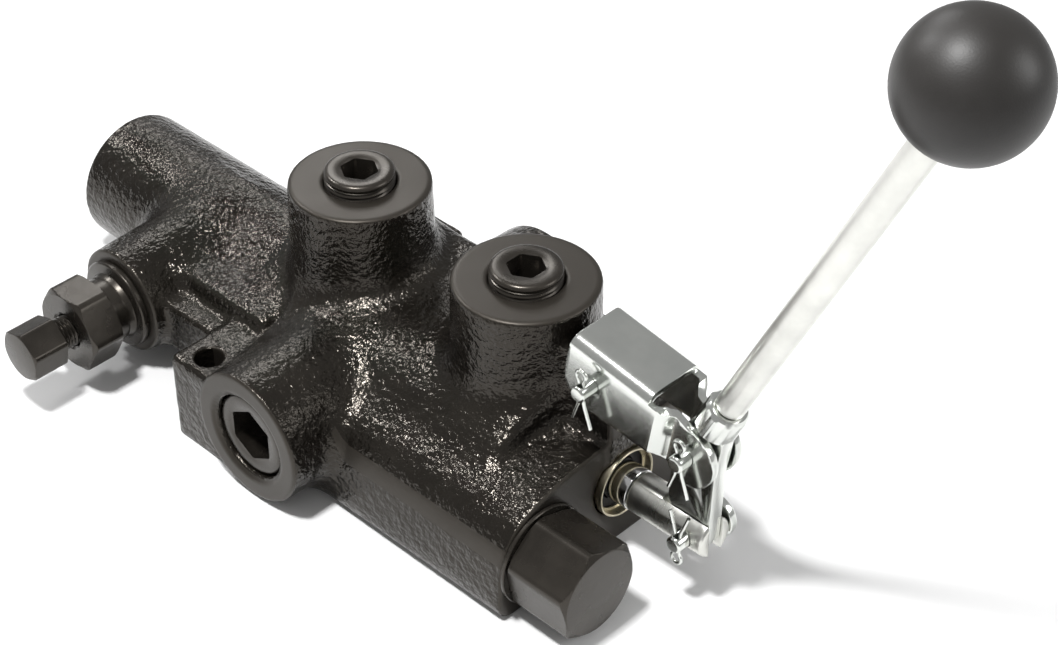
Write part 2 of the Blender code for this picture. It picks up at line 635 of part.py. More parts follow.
def cotter(name, pin_point, down):
    """A split pin through the pin's near end: an eye, a double shank and two spread legs."""
    direction = -1 if down else 1
    eye_radius, wire_radius = 0.0021, 0.00075
    start = Vector(pin_point) + Vector((0, 0, direction * (PIN_RADIUS + eye_radius + 0.0020)))
    eye = [(start.x + eye_radius * math.cos(math.radians(angle)), start.y,
            start.z + direction * eye_radius * math.sin(math.radians(angle)))
           for angle in range(-60, 241, 30)]
    ends = []
    for side in (1, -1):
        ends.append([
            (start.x + side * 0.00085, start.y, start.z - direction * 0.0030),
            (start.x + side * 0.0009, start.y, pin_point[2] - direction * (PIN_RADIUS + 0.0012)),
            (start.x + side * 0.0045, start.y, pin_point[2] - direction * (PIN_RADIUS + 0.0110)),
        ])
    points = list(reversed(ends[0])) + eye + ends[1]
    wire(name, points, wire_radius, "zinc_plate", resolution=1)


def headed_pin(name, pivot, near_y, far_y, head_radius):
    """A clevis pin along Y, headed on the far side, with a cotter hole near its end."""
    frame = at((pivot.x, 0, pivot.z), BACK_AXIS)
    head = 0.0035
    pin = turned(name, [
        (0, far_y + head),
        (head_radius - 0.0008, far_y + head),
        (head_radius, far_y + head - 0.0008),
        (head_radius, far_y),
        (PIN_RADIUS, far_y),
        (PIN_RADIUS, near_y + 0.0008),
        (PIN_RADIUS - 0.0008, near_y),
        (0, near_y),
    ], frame, "zinc_plate", 20)
    hole_y = near_y + 0.0026
    boolean(pin, box(name + "_hole", (pivot.x - 0.0018, hole_y - 0.0009, pivot.z - 0.01),
                     (pivot.x + 0.0018, hole_y + 0.0009, pivot.z + 0.01)))
    return (pivot.x, hole_y, pivot.z)


def link():
    """The pressed link: a channel with its web on top, narrowing to two lobes at the lever."""
    frame = at((0, 0, 0), SIDE_PLANE)
    sheet = LINK_SHEET
    web_start = Vector((0.1180, 0, AXIS_Z + 0.0640))
    slope = Vector((math.cos(LINK_TILT), 0, -math.sin(LINK_TILT)))
    normal = Vector((math.sin(LINK_TILT), 0, math.cos(LINK_TILT)))

    def on_link(along, below):
        point = web_start + slope * along - normal * below
        return (point.x, point.z)

    web_length, flange_end = 0.0365, 0.0400
    body_outline = [on_link(0, 0), on_link(web_length, 0), on_link(flange_end, 0.0045),
                    on_link(flange_end, 0.0235), on_link(0.010, 0.0255), on_link(0.0035, 0.0235),
                    on_link(-0.0005, 0.018), on_link(-0.0005, 0.007)]
    body = prism("link_channel", body_outline, 2 * LINK_HALF_WIDTH, frame, "zinc_plate", bevel=0.0012)
    wall = 0.0035
    lobe_outline = [on_link(flange_end - wall, 0.0060)]
    lobe_outline += arc((LEVER_PIN.x, LEVER_PIN.z), LOBE_RADIUS, 85, -85, 10)
    lobe_outline += [on_link(flange_end - wall, 0.0235)]
    boolean(body, prism("link_lobes", lobe_outline, 2 * LOBE_HALF_WIDTH, frame), "UNION")
    web_under = [on_link(-0.012, sheet), on_link(flange_end - wall, sheet),
                 on_link(flange_end - wall, 0.05), on_link(-0.012, 0.05)]
    boolean(body, prism("channel_room", web_under, 2 * (LINK_HALF_WIDTH - sheet), frame))
    room_start = web_length - 0.0015
    lobe_room = [on_link(room_start, -0.004), on_link(web_length + 0.05, -0.004),
                 on_link(web_length + 0.05, 0.05), on_link(room_start, 0.05)]
    boolean(body, prism("lobe_room", lobe_room, 2 * (LOBE_HALF_WIDTH - sheet), frame))
    for index, pivot in enumerate((FIXED_PIN, LEVER_PIN)):
        reach = Vector((0, 0.03, 0))
        boolean(body, cone(f"link_bore_{index}", pivot - reach, pivot + reach, PIN_RADIUS + GAP,
                           segments=SMALL_SEGMENTS))


def lever():
    """The flat tang that the pins pass through, the block and rod that lean out of it, and the ball knob."""
    lean = Vector((math.sin(LEVER_LEAN), 0, math.cos(LEVER_LEAN)))
    side = Vector((lean.z, 0, -lean.x))
    frame = at((0, 0, 0), SIDE_PLANE)
    block_low = LEVER_PIN + lean * BLOCK_LOW
    block_high = LEVER_PIN + lean * BLOCK_HIGH

    def beside(point, across):
        moved = point + side * across
        return (moved.x, moved.z)

    outline = arc((SPOOL_PIN.x, SPOOL_PIN.z), 0.0072, 190, 350, 8)
    outline += [(SPOOL_PIN.x + 0.0082, AXIS_Z + 0.030), beside(block_low, 0.0066)]
    outline += [beside(block_low, -0.0066), (LEVER_PIN.x - 0.0085, LEVER_PIN.z + 0.004)]
    outline += [(LEVER_PIN.x - 0.0085, LEVER_PIN.z - 0.008), (SPOOL_PIN.x - 0.0105, AXIS_Z + 0.020),
                (SPOOL_PIN.x - 0.0110, AXIS_Z + 0.011)]
    tang = prism("lever_tang", outline, TANG_THICKNESS, frame, "zinc_plate")
    reach = Vector((0, 0.02, 0))
    boolean(tang, cone("tang_spool_bore", SPOOL_PIN - reach, SPOOL_PIN + reach, PIN_RADIUS + GAP,
                       segments=SMALL_SEGMENTS))
    slot_half, slot_radius = 0.0012, PIN_RADIUS + 0.0008
    slot = arc((LEVER_PIN.x, LEVER_PIN.z + slot_half), slot_radius, 0, 180, 8)
    slot += arc((LEVER_PIN.x, LEVER_PIN.z - slot_half), slot_radius, 180, 360, 8)
    boolean(tang, prism("tang_slot", slot, 0.03, frame))

    cone("lever_socket", block_low + lean * GAP, block_high, 0.0079, segments=8, finish="zinc_plate",
         turn=22.5)
    rod_end = KNOB_CENTRE - lean * (KNOB_RADIUS * 0.2)
    cone("lever_rod", block_high + lean * GAP, rod_end, ROD_RADIUS, segments=20, finish="zinc_plate")

    work = bmesh.new()
    bmesh.ops.create_uvsphere(work, u_segments=32, v_segments=20, radius=KNOB_RADIUS)
    bmesh.ops.rotate(work, verts=work.verts, matrix=lean.to_track_quat("Z", "Y").to_matrix())
    bmesh.ops.translate(work, vec=KNOB_CENTRE, verts=work.verts)
    knob = mesh_object("lever_knob", work, "knob_plastic")
    mouth = KNOB_CENTRE - lean * (KNOB_RADIUS + 0.002)
    boolean(knob, cone("knob_bore", mouth, rod_end + lean * GAP, ROD_RADIUS + GAP, segments=20))
    boolean(knob, cone("knob_flat", mouth, KNOB_CENTRE - lean * (KNOB_RADIUS - 0.001), 0.012))


def linkage():
    link()
    lever()
    pins = (
        ("fixed_pivot", FIXED_PIN, -0.0205, LINK_HALF_WIDTH + GAP, 0.0062, False),
        ("lever_pivot", LEVER_PIN, -0.0135, LOBE_HALF_WIDTH + GAP, 0.0085, False),
        ("spool_pivot", SPOOL_PIN, -0.0132, CLEVIS_RADIUS + GAP, 0.0085, True),
    )
    for name, pivot, near_y, far_y, head_radius, down in pins:
        hole = headed_pin(name + "_pin", pivot, near_y, far_y, head_radius)
        cotter(name + "_cotter", hole, down)


def carry(name, pivot, pieces):
    """Parents pieces to an empty on their joint's axis, leaving them where they are."""
    empty = bpy.data.objects.new(name, None)
    empty.location = pivot
    parts.objects.link(empty)
    for piece in pieces:
        obj = bpy.data.objects[piece]
        obj.parent = empty
        obj.matrix_parent_inverse = Matrix.Translation(-Vector(pivot))


casting()
ports()
gallery()
relief_valve()
spool_group()
seals()
detent_housing()
linkage()
carry("spool_axis", (0, 0, AXIS_Z), ("spool_end_fitting", "spool_pivot_pin", "spool_pivot_cotter"))
carry("lever_axis", SPOOL_PIN, ("lever_tang", "lever_socket", "lever_rod", "lever_knob"))
carry("link_axis", FIXED_PIN, ("link_channel", "lever_pivot_pin", "lever_pivot_cotter"))
carry("adjuster_axis", (RELIEF_X, RELIEF_END_Y, AXIS_Z), ("relief_adjusting_screw",))
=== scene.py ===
"""Looks for a lever-operated hydraulic monoblock valve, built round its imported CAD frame.

Metres, in the frame's axes: +X along the spool to the lever, +Z up, the mounting face on z = 0.
The casting is one smooth field of blended forms, turned into a mesh. Every other visible piece is
drawn as rings round an axis, as a bent or cut plate, or as a wire.
"""
import json
import math

import bmesh
import bpy
import numpy as np
import openvdb
from mathutils import Matrix, Vector, noise


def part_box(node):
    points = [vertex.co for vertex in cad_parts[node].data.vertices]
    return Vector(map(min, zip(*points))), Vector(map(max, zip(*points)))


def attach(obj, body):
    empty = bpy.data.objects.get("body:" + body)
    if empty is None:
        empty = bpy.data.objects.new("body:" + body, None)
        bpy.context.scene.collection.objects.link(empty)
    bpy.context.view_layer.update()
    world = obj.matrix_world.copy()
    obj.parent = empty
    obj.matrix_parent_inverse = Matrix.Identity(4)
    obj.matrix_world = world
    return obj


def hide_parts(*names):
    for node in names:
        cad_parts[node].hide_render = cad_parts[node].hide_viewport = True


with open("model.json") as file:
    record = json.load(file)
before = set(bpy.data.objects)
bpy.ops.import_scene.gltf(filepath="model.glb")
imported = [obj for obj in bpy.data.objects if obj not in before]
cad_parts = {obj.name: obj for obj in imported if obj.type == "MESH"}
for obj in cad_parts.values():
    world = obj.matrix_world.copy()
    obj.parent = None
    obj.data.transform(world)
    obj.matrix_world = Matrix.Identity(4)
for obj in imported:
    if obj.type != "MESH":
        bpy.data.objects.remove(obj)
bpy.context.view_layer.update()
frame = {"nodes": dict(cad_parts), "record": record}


def centre(node):
    low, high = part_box(node)
    return (low + high) / 2


# Sizes of the casting and of the standard pieces in it
BARREL_RADIUS = 0.0267
BOSS_RADIUS = 0.0265
SIDE_BOSS_RADIUS = 0.0262
RELIEF_BOSS_Y = -0.0585
RELIEF_BOSS_RADIUS = 0.0215
FRONT_WALL_Y = -0.061
REAR_WALL_Y = 0.0345
LUG_TOP_Z = 0.037
BOLT_HOLES = ((-0.0155, -0.0641), (-0.0155, 0.0475), (0.073, 0.0475))
PLUG_RADIUS = 0.01335
SIDE_PLUG_RADIUS = 0.0167
SIDE_PLUG_SUNK = 0.0022
SOCKET_FLATS = 0.0127
SIDE_SOCKET_FLATS = 0.01905
SPOOL_RADIUS = 0.0079
SPOOL_STEM_RADIUS = 0.0060
BOLT_HOLE_RADIUS = 0.0055
PORT_BORE_DEPTH = 0.0195
PLUG_PROUD = 0.0052
PLUG_LENGTH = 0.016
PIN_RADIUS = 0.003175
PIN_HOLE_RADIUS = 0.0035
TANG_THICKNESS = 0.00635
GALLERY_HEX_FLATS = 0.0333
GALLERY_HEX_TURN = math.radians(11)
RELIEF_NUT_FLATS = 0.0310
RELIEF_CAP_FLATS = 0.01905
RELIEF_CAP_LENGTH = 0.015
KNOB_RADIUS = 0.0222
ROD_RADIUS = 0.0053
LINK_TILT = math.radians(9.3)
CHAMFER_SLOPE = 0.577
VOXEL = 0.00075

# Places, read from the frame
AXIS_Z = centre("spool").z
DECK_Z = AXIS_Z + 0.0335
CAST_LOW, CAST_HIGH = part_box("body_casting")
DETENT_END_X = CAST_LOW.x
NOSE_END_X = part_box("gallery_plug_washer")[0].x - 0.0003
PORT_TOP_Z = CAST_HIGH.z
PORT_A = centre("work_port_plug_a")
PORT_B = centre("work_port_plug_b")
INLET = centre("inlet_port_plug")
OUTLET = centre("outlet_port_plug")
INLET_FACE_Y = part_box("inlet_port_plug")[0].y - SIDE_PLUG_SUNK
OUTLET_FACE_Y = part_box("outlet_port_plug")[1].y + SIDE_PLUG_SUNK
GALLERY = centre("gallery_plug_washer")
RELIEF = centre("relief_cartridge")
SPOOL_PIN = centre("spool_pivot_pin")
LEVER_PIN = centre("lever_pivot_pin")
FIXED_PIN = centre("fixed_pivot_pin")
KNOB = centre("lever_knob")
SPOOL_PIN.y = LEVER_PIN.y = FIXED_PIN.y = KNOB.y = 0.0
LEAN = (KNOB - LEVER_PIN).normalized()

X_AXIS = Matrix.Rotation(math.radians(90), 4, "Y")
FRONT_AXIS = Matrix.Rotation(math.radians(90), 4, "X")
BACK_AXIS = Matrix.Rotation(math.radians(-90), 4, "X")
UP_AXIS = Matrix.Identity(4)


def at(point, facing):
    return Matrix.Translation(Vector(point)) @ facing


# Materials


class Nodes:
    """A short way to write one material's node tree."""

    def __init__(self, name):
        self.material = bpy.data.materials.new(name)
        self.material.use_nodes = True
        self.tree = self.material.node_tree
        self.shader = self.tree.nodes["Principled BSDF"]
        self.place = self.add("ShaderNodeTexCoord").outputs["Object"]

    def add(self, kind, **settings):
        node = self.tree.nodes.new(kind)
        for key, value in settings.items():
            if key in node.inputs:
                self.feed(node.inputs[key], value)
            else:
                setattr(node, key, value)
        return node

    def feed(self, socket, value):
        if isinstance(value, bpy.types.NodeSocket):
            self.tree.links.new(value, socket)
        else:
            socket.default_value = value

    def noise(self, scale, detail=4.0, roughness=0.55, vector=None):
        node = self.add("ShaderNodeTexNoise", Scale=scale, Detail=detail, Roughness=roughness)
        self.feed(node.inputs["Vector"], vector or self.place)
        return node.outputs["Fac"]

    def stretched(self, across):
        node = self.add("ShaderNodeMapping")
        node.inputs["Scale"].default_value = across
        self.feed(node.inputs["Vector"], self.place)
        return node.outputs["Vector"]

    def spread(self, value, low, high, to_low=0.0, to_high=1.0):
        node = self.add("ShaderNodeMapRange")
        for key, number in zip(("From Min", "From Max", "To Min", "To Max"), (low, high, to_low, to_high)):
            node.inputs[key].default_value = number
        self.feed(node.inputs["Value"], value)
        return node.outputs["Result"]

    def maths(self, operation, first, second):
        node = self.add("ShaderNodeMath", operation=operation)
        self.feed(node.inputs[0], first)
        self.feed(node.inputs[1], second)
        return node.outputs[0]

    def mix(self, factor, first, second):
        node = self.add("ShaderNodeMix", data_type="RGBA")
        self.feed(node.inputs["Factor"], factor)
        self.feed(node.inputs[6], first)
        self.feed(node.inputs[7], second)
        return node.outputs[2]

    def attribute(self, name):
        return self.add("ShaderNodeAttribute", attribute_name=name).outputs["Fac"]

    def bump(self, height, distance, strength=1.0, before=None):
        node = self.add("ShaderNodeBump")
        node.inputs["Distance"].default_value = distance
        self.feed(node.inputs["Strength"], strength)
        self.feed(node.inputs["Height"], height)
        if before:
            self.feed(node.inputs["Normal"], before)
        return node.outputs["Normal"]

    def set(self, **values):
        for key, value in values.items():
            self.feed(self.shader.inputs[key.replace("_", " ")], value)
        return self.material


WARM = (1.0, 0.91, 0.80, 1.0)


def enamel_on_iron():
    """Thick black enamel: pebbled where the iron was cast in sand, satin where it was machined, with a
    lighter base colour there that is a painted sheen.
    """
    made = Nodes("black_enamel_cast")
    machined_and_sheen = made.attribute("machined_and_sheen")
    cast = made.maths("SUBTRACT", 1.0, machined_and_sheen)
    grain = made.noise(820.0, 2.0, 0.5)
    pebble = made.noise(400.0, 2.0, 0.5)
    blotch = made.noise(38.0, 3.0)
    wall = made.mix(made.spread(blotch, 0.35, 0.65), (0.0045, 0.0038, 0.0030, 1),
                    (0.0095, 0.0082, 0.0066, 1))
    # Machined faces get a lighter base colour: a painted sheen standing in for the bright studio reflected
    # in the satin paint.
    tone = made.mix(machined_and_sheen, wall, (0.017, 0.0148, 0.0122, 1))
    rough = made.maths("ADD", made.spread(blotch, 0.3, 0.7, 0.14, 0.22),
                       made.spread(machined_and_sheen, 0, 1, 0.0, 0.20))
    bumped = made.bump(pebble, 0.00075, cast)
    bumped = made.bump(grain, 0.00022, made.spread(cast, 0, 1, 0.05, 1.0), bumped)
    return made.set(Base_Color=tone, Roughness=rough, Normal=bumped, Specular_IOR_Level=0.42,
                    Specular_Tint=WARM)


def enamel_on_steel():
    """The same paint over smooth turned and hexagon pieces."""
    made = Nodes("black_enamel_smooth")
    blotch = made.noise(60.0, 3.0)
    ripple = made.noise(240.0, 2.0)
    tone = made.mix(made.spread(blotch, 0.35, 0.65), (0.0085, 0.0073, 0.006, 1), (0.015, 0.013, 0.0108, 1))
    rough = made.spread(blotch, 0.3, 0.7, 0.22, 0.32)
    return made.set(Base_Color=tone, Roughness=rough, Normal=made.bump(ripple, 0.00010, 0.5),
                    Specular_IOR_Level=0.5,
                    Specular_Tint=WARM)


def metal(name, dark, light, rough_low, rough_high, stretch, scale=900.0, depth=0.00003):
    """A bare or plated metal, with fine marks that run along one axis."""
    made = Nodes(name)
    marks = made.noise(scale, 3.0, vector=made.stretched(stretch))
    cloud = made.noise(70.0, 3.0)
    tone = made.mix(made.spread(cloud, 0.3, 0.7), (*dark, 1), (*light, 1))
    rough = made.maths("ADD", made.spread(cloud, 0.3, 0.7, rough_low, rough_high),
                       made.spread(marks, 0.3, 0.7, 0, 0.06))
    return made.set(Base_Color=tone, Roughness=rough, Metallic=1.0, Normal=made.bump(marks, depth, 0.6))


def rubber():
    made = Nodes("nitrile_rubber")
    grain = made.noise(900.0)
    tone = made.mix(made.noise(120.0), (0.012, 0.012, 0.012, 1), (0.025, 0.024, 0.023, 1))
    return made.set(Base_Color=tone, Roughness=made.spread(grain, 0.3, 0.7, 0.55, 0.72),
                    Normal=made.bump(grain, 0.00005))


def moulded_plastic():
    """The ball knob: satin black plastic with a very fine skin texture."""
    made = Nodes("knob_plastic")
    skin = made.noise(1500.0, 2.0)
    cloud = made.noise(45.0, 3.0)
    tone = made.mix(made.spread(cloud, 0.3, 0.7), (0.017, 0.0155, 0.014, 1), (0.023, 0.021, 0.0195, 1))
    rough = made.spread(cloud, 0.3, 0.7, 0.40, 0.47)
    return made.set(Base_Color=tone, Roughness=rough, Normal=made.bump(skin, 0.00006, 0.5),
                    Specular_IOR_Level=0.45)


CAST_ENAMEL = enamel_on_iron()
SMOOTH_ENAMEL = enamel_on_steel()
ZINC = metal("zinc_plate", (0.66, 0.68, 0.65), (0.73, 0.745, 0.71), 0.13, 0.17, (1, 1, 1), 1400.0, 0.00001)
ROD_ZINC = metal("zinc_rod", (0.62, 0.62, 0.59), (0.78, 0.78, 0.74), 0.28, 0.38, (1, 1, 0.06))
CHROME = metal("spool_chrome", (0.66, 0.66, 0.66), (0.8, 0.8, 0.8), 0.05, 0.10, (0.3, 1, 1))
TURNED_ZINC = metal("zinc_turned", (0.60, 0.60, 0.56), (0.70, 0.70, 0.66), 0.24, 0.32, (1, 0.2, 0.2))
BRASSY_ZINC = metal("zinc_yellow", (0.56, 0.51, 0.38), (0.66, 0.60, 0.45), 0.25, 0.32, (1, 1, 1))
DARK_STEEL = metal("dark_steel", (0.20, 0.19, 0.18), (0.32, 0.31, 0.30), 0.30, 0.45, (1, 1, 1))
SPRING_STEEL = metal("spring_steel", (0.32, 0.32, 0.33), (0.46, 0.46, 0.47), 0.25, 0.40, (1, 1, 1))
RUBBER = rubber()
KNOB_PLASTIC = moulded_plastic()


# Mesh helpers


def finished(obj, material, body, slot, *nodes):
    """Gives a piece its finish, its body and the CAD nodes that it stands for."""
    obj.data.materials.clear()
    obj.data.materials.append(material)
    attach(obj, body)
    if nodes:
        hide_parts(*nodes)
    return obj


def linked(name, data):
    obj = bpy.data.objects.new(name, data)
    bpy.context.scene.collection.objects.link(obj)
    return obj


def smooth_mesh(name, work, angle=32.0):
    bmesh.ops.recalc_face_normals(work, faces=work.faces)
    mesh = bpy.data.meshes.new(name)
    work.to_mesh(mesh)
    work.free()
    mesh.shade_smooth()
    mesh.set_sharp_from_angle(angle=math.radians(angle))
    return linked(name, mesh)


def apply_modifiers(obj):
    graph = bpy.context.evaluated_depsgraph_get()
    mesh = bpy.data.meshes.new_from_object(obj.evaluated_get(graph))
    obj.modifiers.clear()
    obj.data = mesh
    return obj


def rings(name, levels, facing, segments=96, angle=32.0):
    """A closed body of rings round the facing's Z axis. A level is (radius, height).

    A radius is a number, or a function of the angle. The first and last rings close on the axis.
    """
    turns = [math.tau * index / segments for index in range(segments)]
    work = bmesh.new()
    loops = []
    for radius, height in levels:
        loop = []
        for turn in turns:
            reach = radius(turn) if callable(radius) else radius
            rise = height(turn) if callable(height) else height
            loop.append(work.verts.new((reach * math.cos(turn), reach * math.sin(turn), rise)))
        loops.append(loop)
    for lower, upper in zip(loops, loops[1:]):
        for index in range(segments):
            after = (index + 1) % segments
            work.faces.new((lower[index], lower[after], upper[after], upper[index]))
    work.faces.new(loops[0])
    work.faces.new(loops[-1])
    bmesh.ops.transform(work, matrix=facing, verts=work.verts)
    return smooth_mesh(name, work, angle)


def hollow_rings(name, levels, facing, segments=96, angle=32.0):
    """Rings that close on themselves, for a piece with a bore."""
    work = bmesh.new()
    loops = []
    for radius, height in levels:
        loop = []
        for index in range(segments):
            turn = math.tau * index / segments
            reach = radius(turn) if callable(radius) else radius
            loop.append(work.verts.new((reach * math.cos(turn), reach * math.sin(turn), height)))
        loops.append(loop)
    for lower, upper in zip(loops, loops[1:] + loops[:1]):
        for index in range(segments):
            after = (index + 1) % segments
            work.faces.new((lower[index], lower[after], upper[after], upper[index]))
    bmesh.ops.transform(work, matrix=facing, verts=work.verts)
    return smooth_mesh(name, work, angle)


def softened(profile, radius=0.0004, steps=3):
    """The same profile with each inner corner rounded."""
    points = [Vector(point) for point in profile]
    made = [points[0]]
    for before, corner, after in zip(points, points[1:], points[2:]):
        into = (before - corner)
        out = (after - corner)
        reach = min(radius, into.length * 0.45, out.length * 0.45)
        start = corner + into.normalized() * reach
        end = corner + out.normalized() * reach
        for index in range(steps + 1):
            share = index / steps
            made.append(start.lerp(corner, share).lerp(corner.lerp(end, share), share))
    made.append(points[-1])
    return [(point.x, point.y) for point in made]


def hexagon(flats, turn=0.0, corner=0.0006):
    """The radius of a hexagon across its flats, with its corners eased."""
    def radius(angle):
        folded = (angle - turn) % (math.tau / 6) - math.tau / 12
        sharp = flats / 2 / math.cos(folded)
        limit = flats / 2 / math.cos(math.tau / 12) - corner
        return min(sharp, limit)
    return radius


def smaller(first, second):
    def radius(angle):
        a = first(angle) if callable(first) else first
        b = second(angle) if callable(second) else second
        return min(a, b)
    return radius


def chamfered_bar(section, low, high, corner, chamfer_low, chamfer_high):
    """Levels of a bar whose ends are turned to a 30 degree cone, from low to high."""
    levels = []
    steps = 7
    for index in range(steps + 1):
        drop = chamfer_low * (1 - index / steps)
        if chamfer_low:
            levels.append((smaller(section, corner - drop), low + (chamfer_low - drop) * CHAMFER_SLOPE))
    if not chamfer_low:
        levels.append((section, low))
    for index in range(steps + 1):
        drop = chamfer_high * index / steps
        if chamfer_high:
            levels.append((smaller(section, corner - drop), high - (chamfer_high - drop) * CHAMFER_SLOPE))
    if not chamfer_high:
        levels.append((section, high))
    return levels


def thread(radius, depth, pitch, low, high, rows=8):
    """Levels of a helical thread from low to high, with rounded crests."""
    count = max(2, round((high - low) / pitch * rows))
    levels = []
    for index in range(count + 1):
        height = low + (high - low) * index / count

        def reach(turn, height=height):
            phase = (height / pitch - turn / math.tau) % 1.0
            return radius - depth * abs(2 * phase - 1) ** 1.4
        levels.append((reach, height))
    return levels


def outline_plate(name, outline, thickness, facing, bevel=0.0006, holes=()):
    """A flat plate cut to an outline of (u, v) points, with round holes, through a filled 2D curve."""
    curve = bpy.data.curves.new(name, "CURVE")
    curve.dimensions = "2D"
    curve.fill_mode = "BOTH"
    curve.extrude = thickness / 2
    loops = [outline]
    for (u, v), radius in holes:
        loops.append([(u + radius * math.cos(math.tau * step / 32),
                       v + radius * math.sin(math.tau * step / 32))
                      for step in range(32)])
    for loop in loops:
        spline = curve.splines.new("POLY")
        spline.points.add(len(loop) - 1)
        for point, (u, v) in zip(spline.points, loop):
            point.co = (u, v, 0.0, 1.0)
        spline.use_cyclic_u = True
    source = linked(name + "_outline", curve)
    graph = bpy.context.evaluated_depsgraph_get()
    mesh = bpy.data.meshes.new_from_object(source.evaluated_get(graph))
    bpy.data.objects.remove(source)
    work = bmesh.new()
    work.from_mesh(mesh)
    bmesh.ops.remove_doubles(work, verts=work.verts, dist=0.000005)
    bmesh.ops.dissolve_limit(work, angle_limit=0.01, verts=work.verts, edges=work.edges)
    if bevel:
        sharp = [edge for edge in work.edges if edge.calc_face_angle(0.0) > 1.2]
        bmesh.ops.bevel(work, geom=sharp, offset=bevel, segments=3, profile=0.5, affect="EDGES",
                        offset_type="OFFSET", clamp_overlap=True)
    bmesh.ops.transform(work, matrix=facing, verts=work.verts)
    return smooth_mesh(name, work, 40)


def boolean(obj, other, operation="DIFFERENCE"):
    step = obj.modifiers.new(operation.lower(), "BOOLEAN")
    step.operation = operation
    step.solver = "EXACT"
    step.object = other
    apply_modifiers(obj)
    bpy.data.objects.remove(other)
    return obj


def soft_edges(obj, width, angle=35.0):
    """Rounds the sharp edges that a Boolean leaves."""
    step = obj.modifiers.new("edges", "BEVEL")
    step.width = width
    step.segments = 2
    step.limit_method = "ANGLE"
    step.angle_limit = math.radians(angle)
    step.use_clamp_overlap = True
    apply_modifiers(obj)
    obj.data.shade_smooth()
    obj.data.set_sharp_from_angle(angle=math.radians(angle))
    return obj


def cylinder(name, start, end, radius, segments=64):
    start, end = Vector(start), Vector(end)
    along = end - start
    facing = Matrix.Translation(start) @ along.to_track_quat("Z", "Y").to_matrix().to_4x4()
    return rings(name, [(radius, 0), (radius, along.length)], facing, segments)


def block(name, low, high):
    work = bmesh.new()
    bmesh.ops.create_cube(work, size=1.0)
    low, high = Vector(low), Vector(high)
    bmesh.ops.scale(work, vec=high - low, verts=work.verts)
    bmesh.ops.translate(work, vec=(low + high) / 2, verts=work.verts)
    return smooth_mesh(name, work)


def wire(name, points, radius, closed=False):
    curve = bpy.data.curves.new(name, "CURVE")
    curve.dimensions = "3D"
    curve.bevel_depth = radius
    curve.bevel_resolution = 4
    curve.resolution_u = 4
    curve.use_fill_caps = True
    spline = curve.splines.new("NURBS")
    spline.points.add(len(points) - 1)
    for point, place in zip(spline.points, points):
        point.co = (*place, 1.0)
    spline.order_u = 3
    spline.use_endpoint_u = not closed
    spline.use_cyclic_u = closed
    source = linked(name + "_path", curve)
    graph = bpy.context.evaluated_depsgraph_get()
    mesh = bpy.data.meshes.new_from_object(source.evaluated_get(graph))
    bpy.data.objects.remove(source)
    mesh.shade_smooth()
    return linked(name, mesh)


# The casting's field: distance in metres, negative inside the iron


class Field:
    """A grid of signed distances that forms are blended into."""

    def __init__(self, low, high, step):
        self.step = step
        self.low = Vector(low)
        counts = [int(math.ceil((high[axis] - low[axis]) / step)) + 1 for axis in range(3)]
        self.axes = [low[axis] + step * np.arange(counts[axis], dtype=np.float32) for axis in range(3)]
        self.values = np.full(counts, 0.05, dtype=np.float32)

    def window(self, low, high):
        """The part of the grid inside a box, and its coordinates ready to broadcast."""
        cut, places = [], []
        for axis in range(3):
            start, end = np.searchsorted(self.axes[axis], (low[axis], high[axis]))
            cut.append(slice(start, end))
            shape = [1, 1, 1]
            shape[axis] = end - start
            places.append(self.axes[axis][start:end].reshape(shape))
        return tuple(cut), places

    def join(self, form, low, high, blend):
        cut, places = self.window([v - 0.02 for v in low], [v + 0.02 for v in high])
        self.values[cut] = smooth_min(self.values[cut], form(*places), blend)

    def cut(self, form, low, high, blend=0.0006):
        cut, places = self.window([v - 0.003 for v in low], [v + 0.003 for v in high])
        self.values[cut] = -smooth_min(-self.values[cut], form(*places), blend)

    def mesh(self):
        grid = openvdb.FloatGrid(0.05)
        grid.copyFromArray(self.values)
        points, triangles, quads = grid.convertToPolygons(isovalue=0.0, adaptivity=0.0)
        points = points * self.step + np.array(self.low)
        return points, triangles, quads


def smooth_min(first, second, blend):
    share = np.clip(0.5 + 0.5 * (second - first) / blend, 0, 1)
    return second * (1 - share) + first * share - blend * share * (1 - share)


def smooth_max(first, second, blend):
    return -smooth_min(-first, -second, blend)


def rod_form(axis, centre_point, start, end, radius_start, radius_end=None, edge=0.001):
    """A round bar along X, Y or Z between two heights, with its end edges eased."""
    radius_end = radius_start if radius_end is None else radius_end
    low, high = min(start, end), max(start, end)

    def form(*places):
        across = [places[i] - centre_point[i] for i in range(3) if i != axis]
        share = np.clip((places[axis] - start) / (end - start), 0, 1)
        radius = radius_start + (radius_end - radius_start) * share
        side = np.sqrt(across[0] ** 2 + across[1] ** 2) - radius
        ends = np.maximum(low - places[axis], places[axis] - high)
        return smooth_max(side, ends + 0 * side, edge)
    return form


def block_form(low, high, edge=0.003):
    def form(*places):
        middle = [(a + b) / 2 for a, b in zip(low, high)]
        half = [(b - a) / 2 - edge for a, b in zip(low, high)]
        gaps = [np.abs(places[i] - middle[i]) - half[i] for i in range(3)]
        outside = np.sqrt(sum(np.maximum(gap, 0) ** 2 for gap in gaps))
        inside = np.minimum(np.maximum(gaps[0], np.maximum(gaps[1], gaps[2])), 0)
        return outside + inside - edge
    return form


def section_form(outline, start, end, edge, ends=0.003):
    """A convex outline in Y and Z, given clockwise from +X, extruded along X."""
    def form(x, y, z):
        value = None
        for (y0, z0), (y1, z1) in zip(outline, outline[1:] + outline[:1]):
            length = math.hypot(y1 - y0, z1 - z0)
            side = ((z - z0) * (y1 - y0) - (y - y0) * (z1 - z0)) / length
            value = side if value is None else smooth_max(value, side, edge)
        ends_gap = np.maximum(start - x, x - end)
        return smooth_max(value + 0 * x, ends_gap + 0 * value, ends)
    return form


